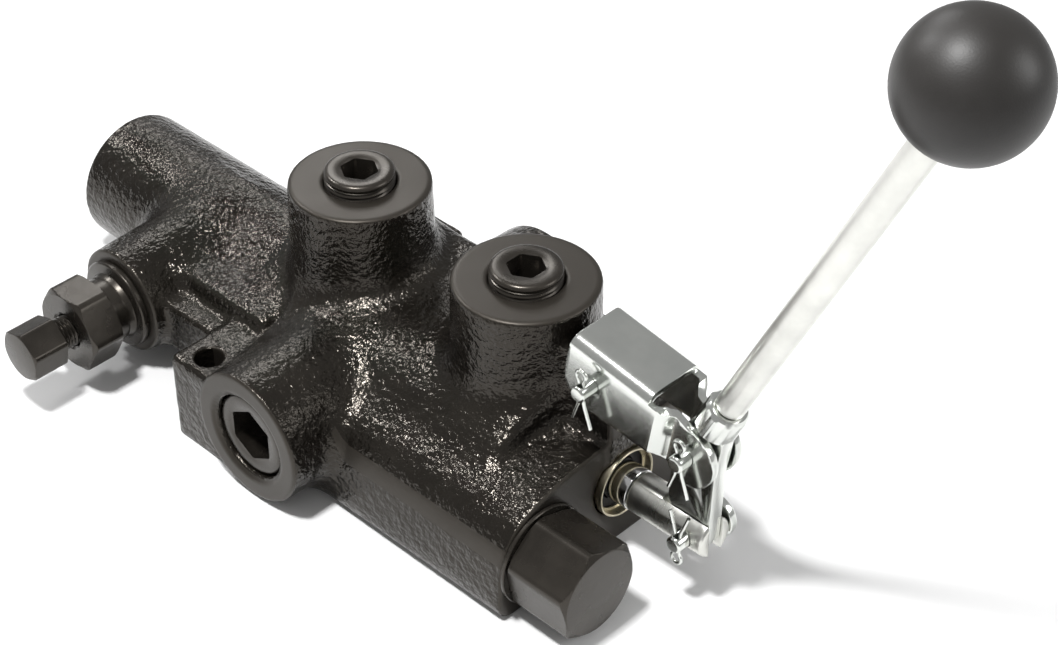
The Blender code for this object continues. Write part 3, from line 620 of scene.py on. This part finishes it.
def casting():
    """One iron casting: forms blended with fillets, machined flat, then bored."""
    under = -0.02
    floor = -0.0007
    margin = 0.003
    field = Field([v - margin for v in CAST_LOW], [v + margin for v in CAST_HIGH], VOXEL)
    base = [(FRONT_WALL_Y, floor), (FRONT_WALL_Y, AXIS_Z + 0.0020), (-0.0580, AXIS_Z + 0.0090),
            (-0.0510, AXIS_Z + 0.0148), (-0.0400, AXIS_Z + 0.0192), (-0.015, AXIS_Z + 0.0225),
            (REAR_WALL_Y - 0.002, AXIS_Z + 0.020), (REAR_WALL_Y - 0.002, floor)]
    deck = [(-0.052, 0.02), (-0.043, AXIS_Z + 0.0170), (-0.024, DECK_Z - 0.003), (REAR_WALL_Y, DECK_Z),
            (REAR_WALL_Y, 0.02)]
    skirt = [(-0.040, floor), (-0.040, AXIS_Z + 0.008), (-0.022, AXIS_Z + 0.020),
             (REAR_WALL_Y, AXIS_Z + 0.022),
             (REAR_WALL_Y, floor)]
    field.join(section_form(base, -0.006, NOSE_END_X, 0.0085, 0.0016), [-0.02, -0.07, 0.0],
               [0.135, 0.04, 0.08], 0.0005)
    field.join(section_form(deck, -0.006, 0.108, 0.007, 0.005), [-0.02, -0.06, 0.0], [0.12, 0.04, 0.08],
               0.0035)
    field.join(section_form(skirt, -0.0275, 0.03, 0.007), [-0.04, -0.05, 0.0], [0.04, 0.04, 0.08], 0.006)
    z = AXIS_Z
    field.join(rod_form(0, (0, 0, z), DETENT_END_X, 0.03, BARREL_RADIUS, edge=0.0012),
               [DETENT_END_X, -0.03, 0], [0.03, 0.03, 0.06], 0.009)
    field.join(rod_form(0, (0, -0.0005, z - 0.001), DETENT_END_X + 0.0004, 0.0, BARREL_RADIUS - 0.0008,
                        edge=0.0012),
               [DETENT_END_X, -0.03, 0], [0.0, 0.03, 0.06], 0.0006)
    for port in (PORT_A, PORT_B):
        field.join(rod_form(2, (port.x, 0, 0), z, PORT_TOP_Z, BOSS_RADIUS + 0.0014, BOSS_RADIUS, 0.0016),
                   [port.x - 0.03, -0.03, z], [port.x + 0.03, 0.03, PORT_TOP_Z], 0.010)
    field.join(rod_form(1, (INLET.x, 0, z), -0.02, INLET_FACE_Y, SIDE_BOSS_RADIUS + 0.0012,
                        SIDE_BOSS_RADIUS, 0.0012),
               [INLET.x - 0.03, INLET_FACE_Y, z - 0.03], [INLET.x + 0.03, -0.02, z + 0.03], 0.007)
    field.join(rod_form(1, (OUTLET.x, 0, z), 0.02, OUTLET_FACE_Y, SIDE_BOSS_RADIUS + 0.0012,
                        SIDE_BOSS_RADIUS, 0.0012),
               [OUTLET.x - 0.03, 0.02, z - 0.03], [OUTLET.x + 0.03, OUTLET_FACE_Y, z + 0.03], 0.007)
    field.join(rod_form(1, (RELIEF.x, 0, z), 0.0, RELIEF_BOSS_Y, RELIEF_BOSS_RADIUS + 0.0022,
                        RELIEF_BOSS_RADIUS, 0.0012),
               [RELIEF.x - 0.03, RELIEF_BOSS_Y, z - 0.03], [RELIEF.x + 0.03, 0.0, z + 0.03], 0.010)
    shoulder = [(-0.0430, 0.0125), (-0.0420, AXIS_Z + 0.0150), (-0.012, AXIS_Z + 0.0200), (0.010, 0.0125)]
    field.join(section_form(shoulder, RELIEF.x, -0.012, 0.003, 0.003), [RELIEF.x, -0.045, 0.0],
               [-0.01, 0.02, 0.06],
               0.006)
    ledge = [(-0.0530, 0.0125), (-0.0530, 0.0345), (0.0, 0.0345), (0.0, 0.0125)]
    field.join(section_form(ledge, RELIEF.x, -0.020, 0.003, 0.003), [RELIEF.x, -0.055, 0.0],
               [-0.02, 0.0, 0.04],
               0.0045)
    field.join(block_form((-0.0276, -0.0736, under), (0.004, -0.030, LUG_TOP_Z), 0.003),
               [-0.0276, -0.0736, under], [0.004, -0.030, LUG_TOP_Z], 0.0035)
    for hole_x, hole_y in BOLT_HOLES[1:]:
        low = (hole_x - 0.0115, 0.028, under)
        high = (hole_x + 0.0115, hole_y + 0.0095, LUG_TOP_Z)
        field.join(block_form(low, high, 0.003), low, high, 0.0035)
    pivot_low = (FIXED_PIN.x - 0.0085, -0.008, z)
    pivot_high = (FIXED_PIN.x + 0.0085, 0.008, FIXED_PIN.z)
    field.join(rod_form(1, FIXED_PIN, -0.008, 0.008, 0.0085, edge=0.001),
               (pivot_low[0], -0.008, FIXED_PIN.z - 0.01), (pivot_high[0], 0.008, FIXED_PIN.z + 0.0085),
               0.001)
    field.join(block_form((0.106, -0.008, z + 0.01), (FIXED_PIN.x + 0.0045, 0.008, FIXED_PIN.z + 0.004),
                          0.0015),
               (0.106, -0.008, z + 0.01), pivot_high, 0.004)

    def drill(axis, centre_point, start, end, radius, edge=0.0006):
        low, high = list(centre_point), list(centre_point)
        for index in range(3):
            low[index] -= radius
            high[index] += radius
        low[axis], high[axis] = min(start, end), max(start, end)
        field.cut(rod_form(axis, centre_point, start, end, radius, edge=0.0004), low, high, edge)

    for hole_x, hole_y in BOLT_HOLES:
        drill(2, (hole_x, hole_y, 0), -0.01, LUG_TOP_Z + 0.01, BOLT_HOLE_RADIUS)
    for port in (PORT_A, PORT_B):
        drill(2, (port.x, 0, 0), PORT_TOP_Z - PORT_BORE_DEPTH, PORT_TOP_Z + 0.01, PLUG_RADIUS + 0.0001)
    for port, face_y, side in ((INLET, INLET_FACE_Y, -1), (OUTLET, OUTLET_FACE_Y, 1)):
        outside = face_y + side * 0.01
        drill(1, (port.x, 0, z), outside, face_y - side * PORT_BORE_DEPTH, SIDE_PLUG_RADIUS + 0.0001)
        drill(1, (port.x, 0, z), outside, face_y - side * 0.0010, SIDE_PLUG_RADIUS + 0.0014, 0.001)
    drill(0, (0, GALLERY.y, GALLERY.z), NOSE_END_X - 0.022, NOSE_END_X + 0.01, 0.0139)
    drill(1, (RELIEF.x, 0, z), RELIEF_BOSS_Y - 0.01, -0.030, 0.0119)
    drill(0, (0, 0, z), 0.08, NOSE_END_X + 0.01, 0.0083)
    drill(0, (0, 0, z), NOSE_END_X - 0.006, NOSE_END_X + 0.01, 0.0140)
    drill(0, (0, 0, z), DETENT_END_X - 0.01, -0.062, 0.020)
    drill(0, (0, 0, z), DETENT_END_X - 0.01, DETENT_END_X + 0.009, 0.0226)
    drill(1, FIXED_PIN, -0.02, 0.02, 0.0036)
    field.cut(block_form((-0.3, -0.3, -0.05), (0.3, 0.3, 0.0), 0.0001), (-0.3, -0.3, -0.05),
              (0.3, 0.3, 0.0), 0.0008)

    points, triangles, quads = field.mesh()
    mesh = bpy.data.meshes.new("casting_skin")
    faces = [tuple(face) for face in triangles.tolist()] + [tuple(face) for face in quads.tolist()]
    mesh.from_pydata(points.tolist(), [], faces)
    work = bmesh.new()
    work.from_mesh(mesh)
    bmesh.ops.recalc_face_normals(work, faces=work.faces)
    work.to_mesh(mesh)
    work.free()
    pebbled(mesh)
    mesh.shade_smooth()
    obj = linked("casting_skin", mesh)
    return finished(obj, CAST_ENAMEL, "root", "black_enamel", "body_casting")


def pebbled(mesh):
    """Roughens the skin as cast in sand, and marks what was machined so that it stays smooth and takes the
    enamel's painted sheen.
    """
    count = len(mesh.vertices)
    places = np.empty(count * 3, np.float32)
    normals = np.empty(count * 3, np.float32)
    mesh.vertices.foreach_get("co", places)
    mesh.vertex_normals.foreach_get("vector", normals)
    places = places.reshape(-1, 3)
    normals = normals.reshape(-1, 3)
    x, y, z = places.T
    machined_and_sheen = np.zeros(count, bool)
    near = 0.0011
    for level, axis, sign in ((PORT_TOP_Z, 2, 1), (0.0, 2, -1), (INLET_FACE_Y, 1, -1),
                              (OUTLET_FACE_Y, 1, 1),
                              (RELIEF_BOSS_Y, 1, -1), (NOSE_END_X, 0, 1), (DETENT_END_X, 0, -1)):
        machined_and_sheen |= (np.abs(places[:, axis] - level) < near) & (sign * normals[:, axis] > 0.35)
    machined_and_sheen |= np.hypot(y, z - AXIS_Z) < 0.0235 * (x < -0.06)
    for port in (PORT_A, PORT_B):
        machined_and_sheen |= (np.hypot(x - port.x, y) < 0.0145) & (z > PORT_TOP_Z - 0.021)
    mask = machined_and_sheen.astype(np.float32)
    layer = mesh.attributes.new("machined_and_sheen", "FLOAT", "POINT")
    layer.data.foreach_set("value", mask)
    rise = np.empty(count, np.float32)
    for index in range(count):
        spot = Vector(places[index])
        rise[index] = 0.00008 * noise.noise(spot * 420) + 0.00010 * noise.noise(spot * 150)
    places += normals * (rise * (1 - mask))[:, None]
    mesh.vertices.foreach_set("co", places.reshape(-1))


# Ports and their plugs


def pipe_plug(name, node, mouth, facing, proud, radius, flats):
    """A tapered pipe plug with thread, a chamfered head and a hexagon socket."""
    top = proud
    bottom = proud - PLUG_LENGTH
    outer = radius - 0.0001
    entry = flats / 2 / math.cos(math.radians(30))
    head = top - 0.0023
    levels = [(0.0005, bottom), (outer - 0.0015, bottom), (outer - 0.0007, bottom + 0.0008)]
    levels += thread(outer - 0.0001, 0.0007, 0.0018, bottom + 0.001, head - 0.0006)
    levels += [(outer - 0.0009, head - 0.0002), (outer - 0.0003, head + 0.0002),
               (outer - 0.0001, head + 0.0007)]
    levels += [(outer - 0.0002, top - 0.0012), (outer - 0.0006, top - 0.0005),
               (outer - 0.0014, top - 0.0001),
               (outer - 0.0022, top), (entry + 0.0009, top), (entry + 0.0003, top - 0.0002)]
    section = hexagon(flats, math.radians(30), 0.0003)
    levels += [(smaller(section, entry - step * 0.0002), top - 0.0004 - step * 0.0003) for step in range(3)]
    levels += [(section, top - 0.0016), (section, top - 0.0105), (entry - 0.002, top - 0.0112),
               (0.0005, top - 0.0125)]
    plug = rings(name, levels, at(mouth, facing), 144, 38)
    return finished(plug, SMOOTH_ENAMEL, "root", "black_enamel", node)


def ports():
    for name, node, port in (("rear_work_plug", "work_port_plug_a", PORT_A),
                             ("front_work_plug", "work_port_plug_b", PORT_B)):
        pipe_plug(name, node, (port.x, 0, PORT_TOP_Z), UP_AXIS, PLUG_PROUD, PLUG_RADIUS,
                  SOCKET_FLATS)
    for name, node, mouth, facing in (
            ("inlet_plug", "inlet_port_plug", (INLET.x, INLET_FACE_Y, AXIS_Z), FRONT_AXIS),
            ("outlet_plug", "outlet_port_plug", (OUTLET.x, OUTLET_FACE_Y, AXIS_Z), BACK_AXIS)):
        pipe_plug(name, node, mouth, facing, -SIDE_PLUG_SUNK, SIDE_PLUG_RADIUS, SIDE_SOCKET_FLATS)


def gallery_plug():
    """The big hexagon plug and its thin washer."""
    low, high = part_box("gallery_plug")
    washer_low, washer_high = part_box("gallery_plug_washer")
    facing = at((0, GALLERY.y, GALLERY.z), X_AXIS)
    corner = GALLERY_HEX_FLATS / 2 / math.cos(math.radians(30))
    section = hexagon(GALLERY_HEX_FLATS, GALLERY_HEX_TURN, 0.0005)
    start = washer_high.x + 0.0002
    levels = [(0.0005, low.x + 0.0002), (0.0120, low.x + 0.0002), (0.0130, low.x + 0.0015)]
    levels += thread(0.0135, 0.0008, 0.0018, low.x + 0.002, NOSE_END_X - 0.0015)
    levels += [(0.0132, NOSE_END_X + 0.0002), (0.0132, start), (0.0155, start)]
    levels += chamfered_bar(section, start, high.x - 0.0001, corner, 0.0018, 0.0030)
    levels += [(0.0150, high.x), (0.0005, high.x)]
    plug = rings("gallery_hexagon", levels, facing, 144, 24)
    finished(plug, SMOOTH_ENAMEL, "root", "black_enamel", "gallery_plug")
    washer = hollow_rings("gallery_washer", [
        (0.0143, washer_low.x), (0.0189, washer_low.x), (0.0192, washer_low.x + 0.0003),
        (0.0192, washer_high.x - 0.0003), (0.0189, washer_high.x), (0.0143, washer_high.x)], facing)
    finished(washer, SMOOTH_ENAMEL, "root", "black_enamel", "gallery_plug_washer")


def relief_valve():
    """The cartridge with its collar and neck, the chamfered lock nut, and the threaded adjusting screw."""
    facing = at((RELIEF.x, 0, AXIS_Z), FRONT_AXIS)
    low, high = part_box("relief_cartridge")
    start, end = -high.y, -low.y
    collar = end - 0.0084
    cartridge = hollow_rings("relief_body", softened([
        (0.0068, start), (0.0115, start), (0.0115, -RELIEF_BOSS_Y + 0.0003),
        (0.0176, -RELIEF_BOSS_Y + 0.0003),
        (0.0178, -RELIEF_BOSS_Y + 0.0008), (0.0178, collar - 0.0006), (0.0172, collar),
        (0.0136, collar + 0.0003),
        (0.0128, collar + 0.0025), (0.0132, end - 0.0010), (0.0126, end), (0.0068, end)], 0.0003), facing)
    finished(cartridge, SMOOTH_ENAMEL, "root", "black_enamel", "relief_cartridge")

    low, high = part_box("relief_lock_nut")
    flats = RELIEF_NUT_FLATS
    corner = flats / 2 / math.cos(math.radians(30))
    section = hexagon(flats, 0.0, 0.0005)
    levels = [(0.0069, -high.y), (0.0140, -high.y)]
    levels += chamfered_bar(section, -high.y, -low.y - 0.0001, corner, 0.0016, 0.0026)
    levels += [(0.0130, -low.y), (0.0080, -low.y), (0.0069, -low.y - 0.0009)]
    nut = hollow_rings("relief_nut", levels, facing, 144, 24)
    finished(nut, SMOOTH_ENAMEL, "root", "black_enamel", "relief_lock_nut")

    low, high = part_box("relief_adjusting_screw")
    flats = RELIEF_CAP_FLATS
    corner = flats / 2 / math.cos(math.radians(30))
    section = hexagon(flats, math.radians(18), 0.0004)
    cap_start = -low.y - RELIEF_CAP_LENGTH
    levels = [(0.0005, -high.y), (0.0055, -high.y), (0.0060, -high.y + 0.0008)]
    levels += thread(0.0065, 0.0008, 0.0016, -high.y + 0.001, cap_start - 0.0010)
    levels += [(0.0058, cap_start - 0.0006), (0.0060, cap_start), (0.0085, cap_start)]
    levels += chamfered_bar(section, cap_start, -low.y - 0.0001, corner, 0.0008, 0.0014)
    levels += [(0.0092, -low.y), (0.0005, -low.y)]
    screw = rings("relief_cap", levels, facing, 144, 24)
    finished(screw, SMOOTH_ENAMEL, "adjuster_body", "black_enamel", "relief_adjusting_screw")


def spool_end():
    """The ground spool, the retainer ring round it, and the slotted fitting with the pin hole."""
    facing = at((0, 0, AXIS_Z), X_AXIS)
    low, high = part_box("spool")
    radius = SPOOL_RADIUS
    stem = SPOOL_STEM_RADIUS
    lands = ((low.x, -0.030), (-0.010, 0.010), (0.046, 0.060), (0.0745, 0.0945), (0.110, high.x))
    profile = [(0.0005, low.x)]
    for index, (start, end) in enumerate(lands):
        if index:
            profile.append((stem, start))
        profile += [(radius, start), (radius, end)]
        if index < len(lands) - 1:
            profile.append((stem, end))
    profile.append((0.0005, high.x))
    spool = rings("ground_spool", softened(profile, 0.0004), facing, 96)
    finished(spool, CHROME, "spool_body", "chrome", "spool")

    low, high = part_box("seal_retainer")
    sheet = 0.0009
    lip = 0.0136
    ring = hollow_rings("spool_collar", softened([
        (lip - 0.0001, low.x), (lip, low.x + 0.0002), (lip, high.x - 0.0003), (lip - 0.0004, high.x),
        (lip - sheet, high.x - 0.0003), (lip - sheet, low.x + sheet), (0.0118, low.x + sheet),
        (0.0118, low.x),
        (lip - 0.0001, low.x)], 0.0002)[:-1], facing)
    finished(ring, BRASSY_ZINC, "root", "zinc_plate", "seal_retainer")

    low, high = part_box("spool_end_fitting")
    fitting = rings("slotted_fitting", softened([
        (0.0005, low.x), (0.0071, low.x), (0.0077, low.x + 0.0006), (0.0077, high.x - 0.0009),
        (0.0070, high.x),
        (0.0005, high.x)], 0.0003), facing, 96)
    half = TANG_THICKNESS / 2 + 0.0003
    slot_start = SPOOL_PIN.x - 0.0135
    boolean(fitting, block("slot", (slot_start, -half, AXIS_Z - 0.02),
                           (high.x + 0.01, half, AXIS_Z + 0.02)))
    reach = Vector((0, 0.02, 0))
    boolean(fitting, cylinder("hole", SPOOL_PIN - reach, SPOOL_PIN + reach, PIN_HOLE_RADIUS))
    soft_edges(fitting, 0.00035)
    finished(fitting, TURNED_ZINC, "spool_body", "zinc_plate", "spool_end_fitting")


def headed_pin(name, node, body):
    """A clevis pin: headed on the far side, with a chamfered end and a cotter hole."""
    low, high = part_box(node)
    pivot = (low + high) / 2
    head = (high.x - low.x) / 2
    shank = PIN_RADIUS
    near, far = low.y, high.y
    levels = softened([
        (0.0003, near), (shank - 0.0007, near), (shank, near + 0.0007), (shank, far - 0.0035),
        (head - 0.0003, far - 0.0035), (head, far - 0.0032), (head, far - 0.0008), (head - 0.0008, far),
        (0.0003, far)], 0.0003)
    pin = rings(name, levels, at((pivot.x, 0, pivot.z), BACK_AXIS), 64)
    hole_y = near + 0.0026
    boolean(pin, cylinder("hole", (pivot.x, hole_y, pivot.z - 0.01), (pivot.x, hole_y, pivot.z + 0.01),
                          0.0015, 24))
    soft_edges(pin, 0.0002)
    return finished(pin, ZINC, body, "zinc_plate", node)


def cotter(name, node, pin_node, body, down):
    """A split pin: a round eye, a doubled shank through the pin, and two legs bent apart."""
    low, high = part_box(node)
    pin = centre(pin_node)
    x, y, z = pin.x, (low.y + high.y) / 2, pin.z
    side = -1 if down else 1
    eye = 0.0021
    top = z + side * (PIN_RADIUS + eye + 0.0018)
    radius = 0.0007
    right = [(x + 0.0044, y, z - side * 0.0138), (x + 0.0028, y, z - side * 0.0090),
             (x + 0.0010, y, z - side * 0.0044),
             (x + 0.0008, y, z), (x + 0.0008, y, z + side * 0.0036)]
    loop = [(x + eye * math.cos(angle), y, top + side * eye * math.sin(angle))
            for angle in (math.radians(-50 + 28 * step) for step in range(11))]
    left = [(x - 0.0008, y, z + side * 0.0036), (x - 0.0008, y, z), (x - 0.0010, y, z - side * 0.0044),
            (x - 0.0024, y, z - side * 0.0086), (x - 0.0038, y, z - side * 0.0128)]
    split = wire(name, right + loop + left, radius)
    return finished(split, ZINC, body, "zinc_plate", node)


def link():
    """The pressed link: one sheet bent down on both sides, drawn in to two narrow lobes at the lever."""
    tilt = LINK_TILT
    sheet = 0.0028
    half_wide, half_narrow = 0.013, 0.0075
    along = Vector((math.cos(tilt), 0, -math.sin(tilt)))
    up = Vector((math.sin(tilt), 0, math.cos(tilt)))
    start = Vector((0.1180, 0, AXIS_Z + 0.0640))
    web_end = 0.0365
    joggle_start, joggle_end = web_end + 0.0018, web_end + 0.0072
    bend = 0.0048
    depth = 0.036
    middle = sheet / 2
    stations = [-0.0035 + 0.0015 * step for step in range(46)]

    def half_width(distance):
        share = min(max((distance - joggle_start) / (joggle_end - joggle_start), 0), 1)
        share = share * share * (3 - 2 * share)
        return half_wide + (half_narrow - half_wide) * share - middle

    def section(width):
        """(y, down) points of the sheet's middle, from one lower edge over the web to the other."""
        corner = min(bend, width * 0.75) - middle
        side = [(width, depth - (depth - corner - middle) * step / 14) for step in range(14)]
        turn = [(width - corner + corner * math.cos(math.radians(90 * step / 8)),
                 middle + corner - corner * math.sin(math.radians(90 * step / 8))) for step in range(9)]
        web = [((width - corner) * (1 - step / 4), middle) for step in range(1, 4)]
        rightward = side + turn + web
        return rightward + [(0.0, middle)] + [(-y, down) for y, down in reversed(rightward)]

    work = bmesh.new()
    rows = []
    for distance in stations:
        row = []
        for y, down in section(half_width(distance)):
            point = start + along * distance - up * down
            row.append(work.verts.new((point.x, y, point.z)))
        rows.append(row)
    count = len(rows[0])
    web_columns = range(15, count - 16)
    for index, (near, far) in enumerate(zip(rows, rows[1:])):
        past_web = stations[index] >= web_end - 0.0010
        for column in range(count - 1):
            if past_web and column in web_columns:
                continue
            work.faces.new((near[column], near[column + 1], far[column + 1], far[column]))
    loose = [vert for vert in work.verts if not vert.link_faces]
    bmesh.ops.delete(work, geom=loose, context="VERTS")
    obj = smooth_mesh("bent_link", work)
    shell = obj.modifiers.new("sheet", "SOLIDIFY")
    shell.thickness = sheet
    shell.offset = 0.0
    shell.use_even_offset = True
    apply_modifiers(obj)

    def on_link(distance, below):
        point = start + along * distance - up * below
        return (point.x, point.z)

    def arc(centre_point, radius, first, last, steps):
        angles = [math.radians(first + (last - first) * step / steps) for step in range(steps + 1)]
        return [(centre_point[0] + radius * math.cos(a),
                 centre_point[1] + radius * math.sin(a)) for a in angles]

    lobe = 0.0119
    pin = (LEVER_PIN.x, LEVER_PIN.z)
    outline = [on_link(0.0, -0.001), on_link(web_end, -0.001), on_link(web_end + 0.0010, 0.0020),
               on_link(web_end + 0.0040, 0.0052)]
    outline += arc(pin, lobe, 88, -112, 18)
    outline += [on_link(web_end + 0.0045, 0.0240), on_link(web_end + 0.0020, 0.0236),
                on_link(0.010, 0.0255),
                on_link(0.0055, 0.0245), on_link(0.0022, 0.0220), on_link(0.0002, 0.0185),
                on_link(-0.0004, 0.0135),
                on_link(-0.0003, 0.0065)]
    keep = outline_plate("link_outline", outline, 0.06, at((0, 0, 0), FRONT_AXIS), bevel=0.0)
    boolean(obj, keep, "INTERSECT")
    for pivot in (FIXED_PIN, LEVER_PIN):
        reach = Vector((0, 0.03, 0))
        boolean(obj, cylinder("hole", pivot - reach, pivot + reach, PIN_HOLE_RADIUS, 48))
    soft_edges(obj, 0.0004)
    finished(obj, ZINC, "link_body", "zinc_plate", "link_channel")


def lever():
    """The flat tang, the block on it, the plated rod and the ball knob."""
    side = Vector((LEAN.z, 0, -LEAN.x))
    low_block = LEVER_PIN + LEAN * 0.0136
    high_block = LEVER_PIN + LEAN * 0.0265

    def beside(point, across):
        moved = point + side * across
        return (moved.x, moved.z)

    def arc(point, radius, first, last, steps):
        angles = [math.radians(first + (last - first) * step / steps) for step in range(steps + 1)]
        return [(point[0] + radius * math.cos(a), point[1] + radius * math.sin(a)) for a in angles]

    outline = arc((SPOOL_PIN.x, SPOOL_PIN.z), 0.0072, 190, 350, 16)
    outline += [(SPOOL_PIN.x + 0.0082, AXIS_Z + 0.030), beside(low_block, 0.0066)]
    outline += [beside(low_block, -0.0066), (LEVER_PIN.x - 0.0085, LEVER_PIN.z + 0.004)]
    outline += [(LEVER_PIN.x - 0.0085, LEVER_PIN.z - 0.008), (SPOOL_PIN.x - 0.0105, AXIS_Z + 0.020),
                (SPOOL_PIN.x - 0.0110, AXIS_Z + 0.011)]
    holes = [((SPOOL_PIN.x, SPOOL_PIN.z), PIN_HOLE_RADIUS)]
    tang = outline_plate("flat_tang", outline, TANG_THICKNESS, at((0, 0, 0), FRONT_AXIS), 0.0005, holes)
    slot = arc((LEVER_PIN.x, LEVER_PIN.z + 0.0012), 0.0040, 0, 180, 12)
    slot += arc((LEVER_PIN.x, LEVER_PIN.z - 0.0012), 0.0040, 180, 360, 12)
    boolean(tang, outline_plate("slot", slot, 0.03, at((0, 0, 0), FRONT_AXIS), 0.0))
    finished(tang, ZINC, "lever_body", "zinc_plate", "lever_tang")

    lean_facing = LEAN.to_track_quat("Z", "Y").to_matrix().to_4x4()

    def octagon(flats, corner):
        def radius(turn):
            folded = turn % (math.tau / 8) - math.tau / 16
            return min(flats / 2 / math.cos(folded), flats / 2 / math.cos(math.tau / 16) - corner)
        return radius

    length = (high_block - low_block).length
    face = octagon(0.0146, 0.0002)
    levels = [(0.0005, 0.0003), (0.0066, 0.0003), (smaller(face, 0.0072), 0.0005), (face, 0.0011),
              (face, length - 0.0016), (smaller(face, 0.0071), length - 0.0008), (0.0064, length),
              (0.0005, length)]
    socket = rings("rod_block", levels, at(low_block, lean_facing), 96, 20)
    finished(socket, ZINC, "lever_body", "zinc_plate", "lever_socket")

    rod_length = (KNOB - high_block).length - 0.0048
    rod = rings("plated_rod", softened([
        (0.0004, 0.0003), (0.0049, 0.0003), (ROD_RADIUS, 0.0009), (ROD_RADIUS, rod_length - 0.001),
        (0.0049, rod_length),
        (0.0004, rod_length)], 0.0003), at(high_block, lean_facing), 64)
    finished(rod, ROD_ZINC, "lever_body", "zinc_plate", "lever_rod")

    radius = KNOB_RADIUS
    neck = 0.0112
    first = math.asin(neck / radius)
    levels = [(0.0004, -0.0044), (0.0056, -0.0044), (0.0056, -radius + 0.0010),
              (0.0060, -radius * math.cos(first))]
    levels += [(neck - 0.0006, -radius * math.cos(first))]
    steps = 44
    for step in range(steps + 1):
        polar = first + 0.02 + (math.pi - first - 0.04) * step / steps
        levels.append((radius * math.sin(polar), -radius * math.cos(polar)))
    knob = rings("ball_knob", levels, at(KNOB, lean_facing), 128, 45)
    finished(knob, KNOB_PLASTIC, "lever_body", "knob_plastic", "lever_knob")


def linkage():
    link()
    lever()
    headed_pin("fixed_pin", "fixed_pivot_pin", "root")
    headed_pin("lever_pin", "lever_pivot_pin", "link_body")
    headed_pin("spool_pin", "spool_pivot_pin", "spool_body")
    cotter("fixed_split_pin", "fixed_pivot_cotter", "fixed_pivot_pin", "root", False)
    cotter("lever_split_pin", "lever_pivot_cotter", "lever_pivot_pin", "link_body", False)
    cotter("spool_split_pin", "spool_pivot_cotter", "spool_pivot_pin", "spool_body", True)


def detent_end():
    """The cap that closes the detent housing."""
    low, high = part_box("detent_end_cap")
    cap = rings("housing_cap", softened([
        (0.0005, high.x), (0.0221, high.x), (0.0221, low.x + 0.0004), (0.0217, low.x), (0.0130, low.x),
        (0.0110, low.x + 0.0016), (0.0005, low.x + 0.0016)], 0.0005), at((0, 0, AXIS_Z), X_AXIS), 96)
    finished(cap, SMOOTH_ENAMEL, "root", "black_enamel", "detent_end_cap")


def inner_pieces():
    """The pieces inside keep their CAD shapes and get finished materials."""
    finishes = {"chrome": CHROME, "dark_steel": DARK_STEEL, "spring_steel": SPRING_STEEL,
                "seal_rubber": RUBBER}
    slots = {part["node"]: part["material_slot"] for part in frame["record"]["subparts"]}
    for name, obj in frame["nodes"].items():
        if obj.hide_render:
            continue
        obj.data.materials.clear()
        obj.data.materials.append(finishes[slots[name]])
        obj.data.shade_smooth()
        obj.data.set_sharp_from_angle(angle=math.radians(40))


def studio():
    """A plain pale floor, soft lights, and the camera at the photographed angle."""
    scene = bpy.context.scene
    azimuth, elevation = math.radians(44.07), math.radians(38.22)
    right = Vector((math.cos(azimuth), math.sin(azimuth), 0))
    up = Vector((-math.sin(azimuth) * math.sin(elevation), math.cos(azimuth) * math.sin(elevation),
                 math.cos(elevation)))
    back = right.cross(up)
    camera_data = bpy.data.cameras.new("camera")
    camera_data.lens = 78.04
    camera_data.sensor_width = 36.0
    camera = linked("camera", camera_data)
    place = Vector((0, 0, AXIS_Z)) + right * 0.0616 - up * 0.0014 + back * 0.8754
    turned = Matrix((right, up, back)).transposed().to_4x4()
    camera.matrix_world = Matrix.Translation(place) @ turned
    scene.camera = camera

    floor_made = Nodes("pale_floor")
    floor_made.set(Base_Color=floor_made.mix(floor_made.noise(3.0), (0.86, 0.86, 0.86, 1),
                                             (0.9, 0.9, 0.9, 1)),
                   Roughness=0.8)
    work = bmesh.new()
    bmesh.ops.create_grid(work, x_segments=1, y_segments=1, size=4.0)
    floor = smooth_mesh("floor", work)
    floor.data.materials.append(floor_made.material)

    def area(name, azimuth_deg, elevation_deg, distance, size, power, size_y=None):
        light = bpy.data.lights.new(name, "AREA")
        light.shape = "RECTANGLE"
        light.size = size
        light.size_y = size_y or size
        light.energy = power
        obj = linked(name, light)
        a, e = math.radians(azimuth_deg), math.radians(elevation_deg)
        direction = Vector((math.sin(a) * math.cos(e), -math.cos(a) * math.cos(e), math.sin(e)))
        obj.matrix_world = at(direction * distance, direction.to_track_quat("Z", "Y").to_matrix().to_4x4())

    area("top_light", 10, 72, 1.1, 0.12, 12.0)
    area("left_light", -82, 48, 1.2, 0.14, 4.0)
    area("right_light", 120, 30, 1.3, 0.5, 3.5)
    area("back_light", 235, 40, 1.3, 0.35, 2.5)
    world = bpy.data.worlds.new("studio")
    world.use_nodes = True
    world.node_tree.nodes["Background"].inputs["Color"].default_value = (1, 1, 1, 1)
    world.node_tree.nodes["Background"].inputs["Strength"].default_value = 0.38
    scene.world = world
    scene.view_settings.view_transform = "Standard"


casting()
ports()
gallery_plug()
relief_valve()
spool_end()
linkage()
detent_end()
inner_pieces()
studio()
